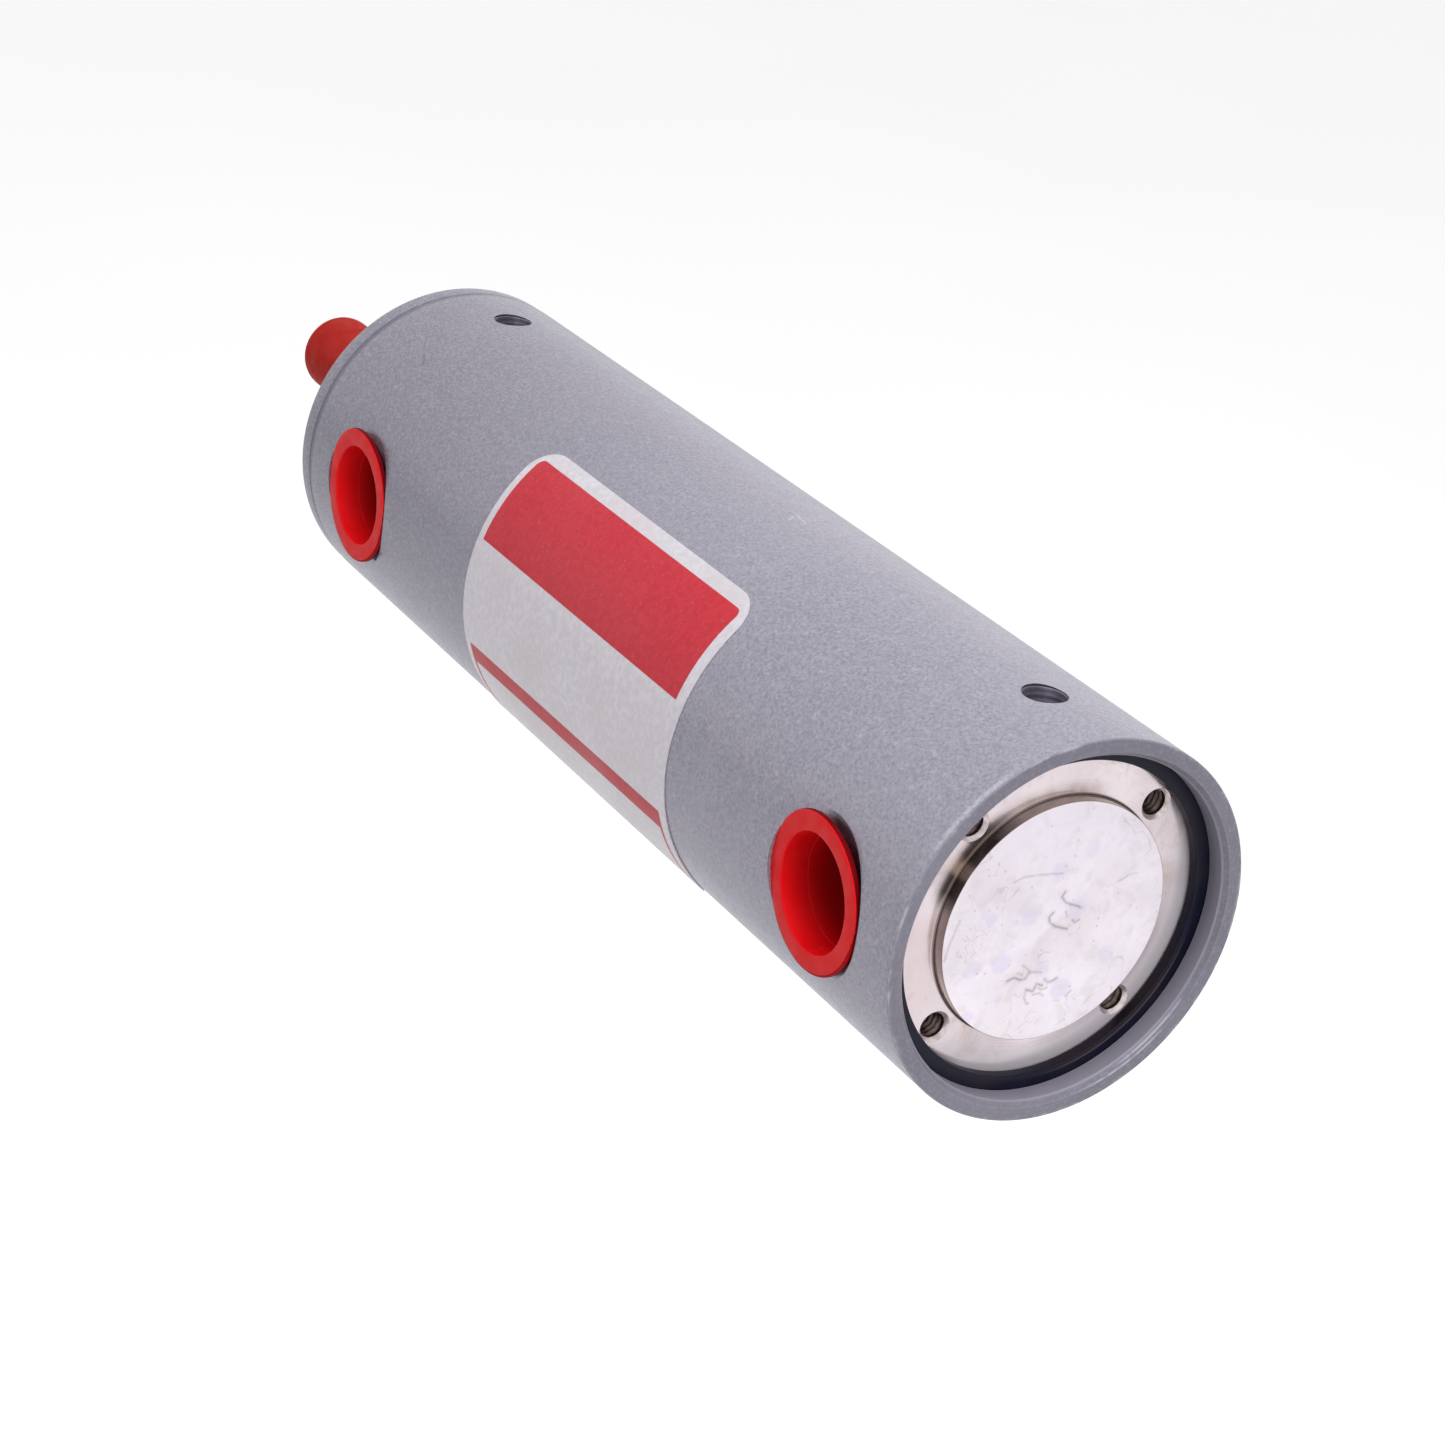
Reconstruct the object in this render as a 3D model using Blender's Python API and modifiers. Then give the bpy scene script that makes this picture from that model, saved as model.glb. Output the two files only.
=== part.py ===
"""Double-wall pneumatic cylinder.

A plain outer tube holds two ported heads with a thin inner tube clamped between them.
The piston, its rod and the red shipping cap slide and turn as one.

Frame: metres, origin at the centre of the raised boss on the rear head, its mounting face.
+X runs along the axis towards the rod, +Y out of the ports, +Z out of the side holes.
Sizes below are in millimetres and become metres where a mesh is made. Places along the
axis are counted from the outer tube's rear end, and one empty carries all of them to the
origin above.
"""

import math

import bmesh
import bpy

MM = 0.001
PART_NAME = "pneumatic_cylinder"

# Facets around a full turn
LARGE_STEPS = 36
SMALL_STEPS = 24
HOLE_STEPS = 16
SECTION_STEPS = 6

# Clearances
SEAT_GAP = 0.15
REST_GAP = 0.3
BORE_GAP = 0.08
ROD_GAP = 0.05
PRESS_GAP = 0.1

# Outer tube
BODY_RADIUS = 25.4
BODY_WALL = 2.48
BODY_EDGE = 0.3
REAR_RIM_CHAMFER_WIDTH = 0.65
REAR_RIM_CHAMFER_DEPTH = 0.83

# Stroke and what shares the chamber with it
STROKE = 76.2
PISTON_LENGTH = 21.4
BUMPER_PROUD = 2.8
STOP_GAP = 0.4

# Heads
WALL_BEFORE_PORT = 3.9
WALL_AFTER_PORT = 1.15
SPIGOT_LENGTH = 5.5
HEAD_EDGE = 0.5
BOSS_LEDGE = 6.97
BOSS_HEIGHT = 1.83
BOSS_FILLET = 0.4
FRONT_FLANGE_THICKNESS = 3.65
FRONT_FLANGE_STEP = 0.4
FRONT_FLANGE_EDGE = 0.8
PILOT_HEIGHT = 3.0

# Retaining ring of the rear head
RING_DEPTH = 3.25
RING_THICKNESS = 1.55
RING_STANDOUT = 1.82
RING_GROOVE_DEPTH = 1.0
RING_SPLIT = 3.0
RING_SPLIT_ANGLE = 45.0

# Inner tube and the air space round it
AIR_SPACE = 2.87
INNER_WALL = 1.0

# Tapped face holes
FACE_HOLE_RADIUS = 1.75
FACE_HOLE_SINK = 0.45
FACE_HOLE_INSET = 4.0
FACE_HOLE_DEPTH = 9.5
FACE_HOLE_COUNT = 4
FACE_HOLE_FIRST_ANGLE = 45.0

# Tapped side holes
SIDE_HOLE_RADIUS = 3.05
SIDE_HOLE_SINK = 0.25
SIDE_HOLE_DEPTH = 8.5
SIDE_HOLE_X = 13.3

# Ports
PORT_RADIUS = 8.75
PORT_FLOOR_RADIUS = 7.9
PORT_FLOOR_HEIGHT = 10.6
SPOTFACE_RADIUS = 10.8
SPOTFACE_DEPTH = 1.5
PASSAGE_RADIUS = 2.0
PASSAGE_INSET = 3.55

# Static O-rings on the head spigots
HEAD_RING_SECTION = 0.85
HEAD_RING_GROOVE_DEPTH = 1.75
HEAD_RING_GROOVE_WIDTH = 2.4
HEAD_RING_SETBACK = 1.6

# Bumpers
BUMPER_INNER_RADIUS = 9.3
BUMPER_OUTER_RADIUS = 12.8
BUMPER_RECESS = 1.2

# Piston
PISTON_GAP = 0.25
PISTON_EDGE = 0.4
SEAL_GROOVE_WIDTH = 4.6
SEAL_GROOVE_DEPTH = 3.6
WEAR_GROOVE_WIDTH = 6.0
WEAR_GROOVE_DEPTH = 1.6
PISTON_LAND = 1.5
SEAL_LIP_DEPTH = 2.4

# Rod
ROD_RADIUS = 5.555
ROD_STUD_RADIUS = 3.97
ROD_REACH = 41.2
ROD_THREAD_LENGTH = 28.6
ROD_RELIEF_WIDTH = 2.0
ROD_RELIEF_DEPTH = 0.6
ROD_END_CHAMFER = 0.9
ROD_FLAT_WIDTH = 9.5
ROD_FLAT_LENGTH = 6.5
ROD_FLAT_SETBACK = 2.0
STUD_END_SETBACK = 0.4
STUD_END_CHAMFER = 0.5
ROD_RING_SECTION = 0.75

# Piston nut
NUT_ACROSS_FLATS = 12.7
NUT_THICKNESS = 6.0
NUT_POCKET_RADIUS = 8.3
NUT_POCKET_DEPTH = 7.2

# Rod bushing, seal and wiper in the front head
BUSHING_LENGTH = 17.5
BUSHING_WALL = 2.3
ROD_RELIEF_GAP = 0.35
LAND_BEHIND_BUSHING = 2.0
ROD_SEAL_LENGTH = 5.6
ROD_SEAL_WIDTH = 3.1
WIPER_LENGTH = 4.3
WIPER_WIDTH = 3.0
WIPER_LIP = 0.7

# Rod thread cap
CAP_WALL = 0.75
CAP_LENGTH = 31.5
CAP_END_WALL = 1.2
CAP_END_ROUND = 2.6

# Port plugs
PLUG_FLANGE_RADIUS = 10.15
PLUG_FLANGE_THICKNESS = 1.3
PLUG_FLANGE_EDGE = 0.25
PLUG_MOUTH_RADIUS = 7.5
PLUG_CUP_DEPTH = 10.5
PLUG_CUP_TAPER = 1.0
PLUG_STEP_DEPTH = 3.6
PLUG_STEP = 0.15
PLUG_WALL = 1.05
PLUG_FLOOR = 1.0

# Label
LABEL_LENGTH = 59.9
LABEL_HALF_ANGLE = 55.2
LABEL_THICKNESS = 0.12
LABEL_GAP = 0.1
LABEL_CORNER = 5.0
LABEL_OFFSET = -1.35
LABEL_CORNER_STEPS = 4
LABEL_ARC_STEPS = 18

# Sizes and places that follow from the ones above
RING_SEAT = RING_DEPTH + RING_THICKNESS
REAR_FACE = RING_SEAT + SEAT_GAP
BOSS_FACE = REAR_FACE - BOSS_HEIGHT
PORT_X = REAR_FACE + WALL_BEFORE_PORT + PORT_RADIUS
REAR_SHOULDER = PORT_X + PORT_RADIUS + WALL_AFTER_PORT
REAR_INNER_FACE = REAR_SHOULDER + SPIGOT_LENGTH
CHAMBER_LENGTH = STROKE + PISTON_LENGTH + 2 * BUMPER_PROUD + 2 * STOP_GAP
BODY_LENGTH = 2 * REAR_INNER_FACE + CHAMBER_LENGTH
BODY_BORE_RADIUS = BODY_RADIUS - BODY_WALL
INNER_BORE_RADIUS = BODY_BORE_RADIUS - AIR_SPACE - INNER_WALL
BOSS_RADIUS = BODY_BORE_RADIUS - BOSS_LEDGE
FRONT_FLANGE_RADIUS = BODY_RADIUS - FRONT_FLANGE_STEP
FACE_HOLE_CIRCLE_RADIUS = BODY_BORE_RADIUS - FACE_HOLE_INSET
PASSAGE_HEIGHT = INNER_BORE_RADIUS - PASSAGE_INSET
RING_INNER_RADIUS = BODY_BORE_RADIUS - RING_STANDOUT
FRONT_SHOULDER = BODY_LENGTH - REAR_SHOULDER
FRONT_INNER_FACE = BODY_LENGTH - REAR_INNER_FACE
FLANGE_BACK = BODY_LENGTH + SEAT_GAP
FLANGE_FRONT = FLANGE_BACK + FRONT_FLANGE_THICKNESS
PILOT_FRONT = FLANGE_FRONT + PILOT_HEIGHT
HEAD_RADIUS = BODY_BORE_RADIUS - REST_GAP
SPIGOT_RADIUS = INNER_BORE_RADIUS - PRESS_GAP
PISTON_REAR = REAR_INNER_FACE + BUMPER_PROUD + STOP_GAP
PISTON_FRONT = PISTON_REAR + PISTON_LENGTH
ROD_TIP = PILOT_FRONT + ROD_REACH
FRONT_PORT_X = BODY_LENGTH - PORT_X
FRONT_SIDE_HOLE_X = BODY_LENGTH - SIDE_HOLE_X
SPOTFACE_HEIGHT = BODY_RADIUS - SPOTFACE_DEPTH
BUSHING_SEAT_END = FRONT_INNER_FACE + BUSHING_LENGTH + REST_GAP
SEAL_GLAND_START = BUSHING_SEAT_END + LAND_BEHIND_BUSHING
SEAL_GLAND_END = SEAL_GLAND_START + ROD_SEAL_LENGTH + 2 * SEAT_GAP
WIPER_SEAT = PILOT_FRONT - WIPER_LENGTH - SEAT_GAP
RUNNING_RADIUS = ROD_RADIUS + ROD_GAP


def make_material(name, colour, roughness, metallic=0.0):
    """Plain surface with the piece's own colour."""
    material = bpy.data.materials.new(name)
    material.use_nodes = True
    shader = material.node_tree.nodes["Principled BSDF"]
    shader.inputs["Base Color"].default_value = (*colour, 1.0)
    shader.inputs["Roughness"].default_value = roughness
    shader.inputs["Metallic"].default_value = metallic
    material.diffuse_color = (*colour, 1.0)
    return material


def clear_scene():
    for item in list(bpy.data.objects):
        bpy.data.objects.remove(item, do_unlink=True)


def make_collection(name):
    collection = bpy.data.collections.new(name)
    bpy.context.scene.collection.children.link(collection)
    return collection


def make_frame(name, offset):
    """Empty that carries every piece and cutter from the tube's rear end to the origin."""
    empty = bpy.data.objects.new(name, None)
    empty.empty_display_size = BODY_RADIUS * MM
    empty.location = (offset * MM, 0.0, 0.0)
    bpy.context.scene.collection.objects.link(empty)
    return empty


clear_scene()
PARTS = make_collection(PART_NAME)
CUTTERS = make_collection("cutters")
AXIS_FRAME = make_frame("axis_frame", -BOSS_FACE)


def point_along(item, direction):
    """Turn an object made about its own Z so that the Z points along a world axis."""
    turns = {
        "+X": (0.0, math.pi / 2, 0.0),
        "-X": (0.0, -math.pi / 2, 0.0),
        "+Y": (-math.pi / 2, 0.0, 0.0),
        "+Z": (0.0, 0.0, 0.0),
    }
    item.rotation_euler = turns[direction]


def shade_round(mesh):
    mesh.shade_smooth()
    mesh.set_sharp_from_angle(angle=math.radians(35))


def turned(name, profile, steps=LARGE_STEPS, closed=False, direction="+X"):
    """Spin a profile of (height, radius) points, listed from the top down the outer side."""
    mesh = bpy.data.meshes.new(name)
    points = [(radius * MM, 0.0, height * MM) for height, radius in profile]
    edges = [(i, i + 1) for i in range(len(points) - 1)]
    if closed:
        edges.append((len(points) - 1, 0))
    mesh.from_pydata(points, edges, [])
    item = bpy.data.objects.new(name, mesh)
    spin = item.modifiers.new("spin", "SCREW")
    spin.axis = "Z"
    spin.angle = 2 * math.pi
    spin.steps = steps
    spin.render_steps = steps
    spin.use_merge_vertices = True
    spin.merge_threshold = 0.00001
    spin.use_smooth_shade = True
    point_along(item, direction)
    return item


def add_part(item, material):
    """File a finished piece under the part, shaded smooth, with its own material."""
    PARTS.objects.link(item)
    item.parent = AXIS_FRAME
    item.data.materials.append(material)
    return item


def as_cutter(item):
    CUTTERS.objects.link(item)
    item.parent = AXIS_FRAME
    item.hide_render = True
    item.display_type = "WIRE"
    return item


def cut(item, cutter):
    """Take a cutter's volume out of a piece."""
    boolean = item.modifiers.new("cut", "BOOLEAN")
    boolean.operation = "DIFFERENCE"
    boolean.solver = "EXACT"
    boolean.object = cutter


def hole_cutter(name, mouth, radius, sink, depth, direction):
    """Blind hole with a countersunk mouth. The mouth's centre is at (x, y, z)."""
    overshoot = 1.5
    profile = [
        (overshoot, 0.0),
        (overshoot, radius + sink + overshoot),
        (-sink, radius),
        (-depth, radius),
        (-depth - radius * 0.5, 0.0),
    ]
    cutter = turned(name, profile, HOLE_STEPS, direction=direction)
    cutter.location = [value * MM for value in mouth]
    return as_cutter(cutter)


def box_cutter(name, size, centre):
    mesh = bpy.data.meshes.new(name)
    shape = bmesh.new()
    bmesh.ops.create_cube(shape, size=1.0)
    bmesh.ops.scale(shape, vec=[value * MM for value in size], verts=shape.verts)
    shape.to_mesh(mesh)
    shape.free()
    cutter = bpy.data.objects.new(name, mesh)
    cutter.location = [value * MM for value in centre]
    return as_cutter(cutter)


def section_ring(name, centre_x, centre_radius, section, steps):
    """O-ring: a small round section spun about the axis."""
    profile = []
    for i in range(SECTION_STEPS):
        angle = math.pi / 2 - 2 * math.pi * i / SECTION_STEPS
        profile.append((centre_x + section * math.sin(angle), centre_radius + section * math.cos(angle)))
    return turned(name, profile, steps, closed=True)


def square_ring(name, start, end, inner, outer, steps=LARGE_STEPS):
    """Ring of rectangular section from start to end along the axis."""
    profile = [(end, outer), (start, outer), (start, inner), (end, inner)]
    return turned(name, profile, steps, closed=True)


def lip_ring(name, start, end, inner, outer, lip_side, steps):
    """Seal with two lips that open towards the start or the end side."""
    width = outer - inner
    open_outer = outer - 0.25 * width
    open_inner = inner + 0.25 * width
    root_outer = outer - 0.42 * width
    root_inner = inner + 0.42 * width
    if lip_side == "start":
        root = start + SEAL_LIP_DEPTH
        profile = [
            (end, outer),
            (start, outer),
            (start, open_outer),
            (root, root_outer),
            (root, root_inner),
            (start, open_inner),
            (start, inner),
            (end, inner),
        ]
    else:
        root = end - SEAL_LIP_DEPTH
        profile = [
            (end, outer),
            (start, outer),
            (start, inner),
            (end, inner),
            (end, open_inner),
            (root, root_inner),
            (root, root_outer),
            (end, open_outer),
        ]
    return turned(name, profile, steps, closed=True)


def face_hole_cutters(face_x, direction, prefix):
    """Cutters for the ring of tapped holes in a head's outer face."""
    cutters = []
    for i in range(FACE_HOLE_COUNT):
        angle = math.radians(FACE_HOLE_FIRST_ANGLE + 360.0 * i / FACE_HOLE_COUNT)
        mouth = (
            face_x,
            FACE_HOLE_CIRCLE_RADIUS * math.cos(angle),
            FACE_HOLE_CIRCLE_RADIUS * math.sin(angle),
        )
        name = f"{prefix}_face_hole_{i + 1}"
        cutters.append(
            hole_cutter(name, mouth, FACE_HOLE_RADIUS, FACE_HOLE_SINK, FACE_HOLE_DEPTH, direction)
        )
    return cutters


def port_cutter(name, port_x):
    """Spotface for the flange and a tapered bore for the thread, along Y."""
    overshoot = BODY_RADIUS + 2.0
    profile = [
        (overshoot, 0.0),
        (overshoot, SPOTFACE_RADIUS),
        (SPOTFACE_HEIGHT, SPOTFACE_RADIUS),
        (SPOTFACE_HEIGHT, PORT_RADIUS),
        (PORT_FLOOR_HEIGHT, PORT_FLOOR_RADIUS),
        (PORT_FLOOR_HEIGHT - 0.4, 0.0),
    ]
    cutter = turned(name, profile, LARGE_STEPS, direction="+Y")
    cutter.location = (port_x * MM, 0.0, 0.0)
    return as_cutter(cutter)


def passage_cutter(name, start, end):
    """Air passage along the axis from a port to its chamber."""
    profile = [(end, 0.0), (end, PASSAGE_RADIUS), (start, PASSAGE_RADIUS), (start, 0.0)]
    cutter = turned(name, profile, HOLE_STEPS)
    cutter.location = (0.0, PASSAGE_HEIGHT * MM, 0.0)
    return as_cutter(cutter)


def side_hole_cutter(name, hole_x):
    mouth = (hole_x, 0.0, BODY_RADIUS)
    return hole_cutter(name, mouth, SIDE_HOLE_RADIUS, SIDE_HOLE_SINK, SIDE_HOLE_DEPTH, "+Z")


def spigot_profile(inner_face, shoulder):
    """Spigot that enters the inner tube, with its O-ring groove, from the face to the shoulder."""
    step = math.copysign(1.0, shoulder - inner_face)
    groove_near = inner_face + step * HEAD_RING_SETBACK
    groove_far = groove_near + step * HEAD_RING_GROOVE_WIDTH
    groove_radius = SPIGOT_RADIUS - HEAD_RING_GROOVE_DEPTH
    return [
        (inner_face, SPIGOT_RADIUS - HEAD_EDGE),
        (inner_face + step * HEAD_EDGE, SPIGOT_RADIUS),
        (groove_near, SPIGOT_RADIUS),
        (groove_near, groove_radius),
        (groove_far, groove_radius),
        (groove_far, SPIGOT_RADIUS),
        (shoulder, SPIGOT_RADIUS),
        (shoulder, HEAD_RADIUS),
    ]


def bumper_recess(inner_face, inwards):
    """Shallow recess in a head's inner face that holds its bumper, from the axis outwards."""
    floor = inner_face + inwards * BUMPER_RECESS
    inner = BUMPER_INNER_RADIUS - PRESS_GAP
    outer = BUMPER_OUTER_RADIUS + PRESS_GAP
    return [(inner_face, inner), (floor, inner), (floor, outer), (inner_face, outer)]


def make_outer_body(material, port_tools, side_tools):
    groove_radius = BODY_BORE_RADIUS + RING_GROOVE_DEPTH
    groove_start = RING_DEPTH - SEAT_GAP / 2
    groove_end = RING_SEAT + SEAT_GAP / 2
    profile = [
        (BODY_LENGTH, BODY_RADIUS - BODY_EDGE),
        (BODY_LENGTH - BODY_EDGE, BODY_RADIUS),
        (BODY_EDGE, BODY_RADIUS),
        (0.0, BODY_RADIUS - BODY_EDGE),
        (0.0, BODY_BORE_RADIUS + REAR_RIM_CHAMFER_WIDTH),
        (REAR_RIM_CHAMFER_DEPTH, BODY_BORE_RADIUS),
        (groove_start, BODY_BORE_RADIUS),
        (groove_start, groove_radius),
        (groove_end, groove_radius),
        (groove_end, BODY_BORE_RADIUS),
        (BODY_LENGTH - BODY_EDGE, BODY_BORE_RADIUS),
        (BODY_LENGTH, BODY_BORE_RADIUS + BODY_EDGE),
    ]
    body = add_part(turned("outer_body", profile, closed=True), material)
    for tool in port_tools + side_tools:
        cut(body, tool)
    return body


def make_inner_tube(material):
    start = REAR_SHOULDER + SEAT_GAP
    end = FRONT_SHOULDER - SEAT_GAP
    outer = INNER_BORE_RADIUS + INNER_WALL
    return add_part(square_ring("inner_tube", start, end, INNER_BORE_RADIUS, outer), material)


def make_retaining_ring(material):
    """Constant-section ring, split where it is sprung into its groove."""
    outer = BODY_BORE_RADIUS + RING_GROOVE_DEPTH - SEAT_GAP
    ring = square_ring("rear_retaining_ring", RING_DEPTH, RING_SEAT, RING_INNER_RADIUS, outer)
    add_part(ring, material)
    reach = 2 * (outer - RING_INNER_RADIUS)
    middle = (outer + RING_INNER_RADIUS) / 2
    angle = math.radians(RING_SPLIT_ANGLE)
    centre = (RING_DEPTH, middle * math.cos(angle), middle * math.sin(angle))
    gap = box_cutter("retaining_ring_split", (4 * RING_THICKNESS, reach, RING_SPLIT), centre)
    gap.rotation_euler = (angle, 0.0, 0.0)
    cut(ring, gap)
    return ring


def make_rear_head(material, port_tool, side_tool):
    """Ported head with a raised boss, a ring of tapped holes and a spigot for the inner tube."""
    profile = [(REAR_INNER_FACE, 0.0)]
    profile += bumper_recess(REAR_INNER_FACE, -1)
    profile += spigot_profile(REAR_INNER_FACE, REAR_SHOULDER)
    profile += [
        (REAR_FACE + HEAD_EDGE, HEAD_RADIUS),
        (REAR_FACE, HEAD_RADIUS - HEAD_EDGE),
        (REAR_FACE, BOSS_RADIUS + BOSS_FILLET),
        (REAR_FACE - BOSS_FILLET, BOSS_RADIUS),
        (BOSS_FACE + BOSS_FILLET / 2, BOSS_RADIUS),
        (BOSS_FACE, BOSS_RADIUS - BOSS_FILLET / 2),
        (BOSS_FACE, 0.0),
    ]
    head = add_part(turned("rear_head", profile), material)
    tools = face_hole_cutters(REAR_FACE, "-X", "rear")
    tools += [port_tool, side_tool]
    tools.append(passage_cutter("rear_passage", PORT_X, REAR_INNER_FACE + 1.0))
    for tool in tools:
        cut(head, tool)
    return head


def make_front_head(material, port_tool, side_tool):
    """Flanged head with a pilot boss, bored for the rod bushing, seal and wiper."""
    bushing_seat = RUNNING_RADIUS + BUSHING_WALL + PRESS_GAP
    rod_bore = ROD_RADIUS + ROD_RELIEF_GAP
    seal_gland = RUNNING_RADIUS + ROD_SEAL_WIDTH + PRESS_GAP
    wiper_seat = RUNNING_RADIUS + WIPER_WIDTH + PRESS_GAP
    recess = bumper_recess(FRONT_INNER_FACE, 1)
    spigot = spigot_profile(FRONT_INNER_FACE, FRONT_SHOULDER)
    profile = [
        (PILOT_FRONT, BOSS_RADIUS - HEAD_EDGE),
        (PILOT_FRONT - HEAD_EDGE, BOSS_RADIUS),
        (FLANGE_FRONT, BOSS_RADIUS),
        (FLANGE_FRONT, FRONT_FLANGE_RADIUS - FRONT_FLANGE_EDGE),
        (FLANGE_FRONT - FRONT_FLANGE_EDGE, FRONT_FLANGE_RADIUS),
        (FLANGE_BACK, FRONT_FLANGE_RADIUS),
        (FLANGE_BACK, HEAD_RADIUS),
    ]
    profile += spigot[::-1]
    profile += recess[::-1]
    profile += [
        (FRONT_INNER_FACE, bushing_seat),
        (BUSHING_SEAT_END, bushing_seat),
        (BUSHING_SEAT_END, rod_bore),
        (SEAL_GLAND_START, rod_bore),
        (SEAL_GLAND_START, seal_gland),
        (SEAL_GLAND_END, seal_gland),
        (SEAL_GLAND_END, rod_bore),
        (WIPER_SEAT, rod_bore),
        (WIPER_SEAT, wiper_seat),
        (PILOT_FRONT, wiper_seat),
    ]
    head = add_part(turned("front_head", profile, closed=True), material)
    tools = face_hole_cutters(FLANGE_FRONT, "+X", "front")
    tools += [port_tool, side_tool]
    tools.append(passage_cutter("front_passage", FRONT_INNER_FACE - 1.0, FRONT_PORT_X))
    for tool in tools:
        cut(head, tool)
    return head


def make_head_rings(material):
    """Static O-rings that seal the inner tube on each spigot."""
    radius = SPIGOT_RADIUS - HEAD_RING_GROOVE_DEPTH + HEAD_RING_SECTION + PRESS_GAP / 2
    offset = HEAD_RING_SETBACK + HEAD_RING_GROOVE_WIDTH / 2
    places = {
        "rear_head_o_ring": REAR_INNER_FACE - offset,
        "front_head_o_ring": FRONT_INNER_FACE + offset,
    }
    for name, centre in places.items():
        add_part(section_ring(name, centre, radius, HEAD_RING_SECTION, LARGE_STEPS), material)


def make_bumpers(material):
    """Cushion rings set in the inner faces of the heads."""
    inner = BUMPER_INNER_RADIUS
    outer = BUMPER_OUTER_RADIUS
    sunk = BUMPER_RECESS - SEAT_GAP
    rear = square_ring(
        "rear_bumper", REAR_INNER_FACE - sunk, REAR_INNER_FACE + BUMPER_PROUD, inner, outer, SMALL_STEPS
    )
    front = square_ring(
        "front_bumper", FRONT_INNER_FACE - BUMPER_PROUD, FRONT_INNER_FACE + sunk, inner, outer, SMALL_STEPS
    )
    add_part(rear, material)
    add_part(front, material)


def piston_grooves():
    """Start and end of the rear seal, wear ring and front seal grooves along the axis."""
    rear_start = PISTON_REAR + PISTON_LAND
    front_end = PISTON_FRONT - PISTON_LAND
    middle = (PISTON_REAR + PISTON_FRONT) / 2
    return [
        (rear_start, rear_start + SEAL_GROOVE_WIDTH, SEAL_GROOVE_DEPTH),
        (middle - WEAR_GROOVE_WIDTH / 2, middle + WEAR_GROOVE_WIDTH / 2, WEAR_GROOVE_DEPTH),
        (front_end - SEAL_GROOVE_WIDTH, front_end, SEAL_GROOVE_DEPTH),
    ]


def piston_ring_place():
    """Centre of the O-ring that seals the piston on the rod's stud."""
    return PISTON_FRONT - 4 * ROD_RING_SECTION


def make_piston(material):
    radius = INNER_BORE_RADIUS - PISTON_GAP
    bore = ROD_STUD_RADIUS + ROD_GAP
    profile = [
        (PISTON_FRONT, radius - PISTON_EDGE),
        (PISTON_FRONT - PISTON_EDGE, radius),
    ]
    for start, end, depth in reversed(piston_grooves()):
        floor = radius - depth
        profile += [(end, radius), (end, floor), (start, floor), (start, radius)]
    ring_start = piston_ring_place() - 1.2 * ROD_RING_SECTION
    ring_end = piston_ring_place() + 1.2 * ROD_RING_SECTION
    ring_floor = bore + 2 * ROD_RING_SECTION
    pocket_floor = PISTON_REAR + NUT_POCKET_DEPTH
    profile += [
        (PISTON_REAR + PISTON_EDGE, radius),
        (PISTON_REAR, radius - PISTON_EDGE),
        (PISTON_REAR, NUT_POCKET_RADIUS),
        (pocket_floor, NUT_POCKET_RADIUS),
        (pocket_floor, bore),
        (ring_start, bore),
        (ring_start, ring_floor),
        (ring_end, ring_floor),
        (ring_end, bore),
        (PISTON_FRONT, bore),
    ]
    return add_part(turned("piston", profile, closed=True), material)


def make_piston_rings(seal_material, wear_material):
    """Two lip seals facing away from each other and the wear ring between them."""
    outer = INNER_BORE_RADIUS - BORE_GAP
    piston_radius = INNER_BORE_RADIUS - PISTON_GAP
    names = ["rear_piston_seal", "piston_wear_ring", "front_piston_seal"]
    for name, (start, end, depth) in zip(names, piston_grooves()):
        inner = piston_radius - depth + PRESS_GAP
        low = start + SEAT_GAP
        high = end - SEAT_GAP
        if name == "piston_wear_ring":
            add_part(square_ring(name, low, high, inner, outer), wear_material)
        else:
            side = "start" if name.startswith("rear") else "end"
            add_part(lip_ring(name, low, high, inner, outer, side, LARGE_STEPS), seal_material)


def make_rod(material):
    """Rod with a threaded nose, wrench flats and a stepped stud through the piston."""
    thread_start = ROD_TIP - ROD_THREAD_LENGTH
    relief_end = thread_start + ROD_RELIEF_WIDTH
    relief = ROD_RADIUS - ROD_RELIEF_DEPTH
    shoulder = PISTON_FRONT + SEAT_GAP
    stud_end = PISTON_REAR + STUD_END_SETBACK
    profile = [
        (ROD_TIP, 0.0),
        (ROD_TIP, ROD_RADIUS - ROD_END_CHAMFER),
        (ROD_TIP - ROD_END_CHAMFER, ROD_RADIUS),
        (relief_end, ROD_RADIUS),
        (relief_end, relief),
        (thread_start, relief),
        (thread_start, ROD_RADIUS),
        (shoulder, ROD_RADIUS),
        (shoulder, ROD_STUD_RADIUS),
        (stud_end + STUD_END_CHAMFER, ROD_STUD_RADIUS),
        (stud_end, ROD_STUD_RADIUS - STUD_END_CHAMFER),
        (stud_end, 0.0),
    ]
    rod = add_part(turned("piston_rod", profile, SMALL_STEPS), material)
    flat_centre = PILOT_FRONT + WIPER_LIP + ROD_FLAT_SETBACK + ROD_FLAT_LENGTH / 2
    depth = ROD_RADIUS
    offset = ROD_FLAT_WIDTH / 2 + depth / 2
    for side in (-1, 1):
        centre = (flat_centre, side * offset, 0.0)
        size = (ROD_FLAT_LENGTH, depth, 3 * ROD_RADIUS)
        cut(rod, box_cutter(f"rod_flat_{side}", size, centre))
    return rod


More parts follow.
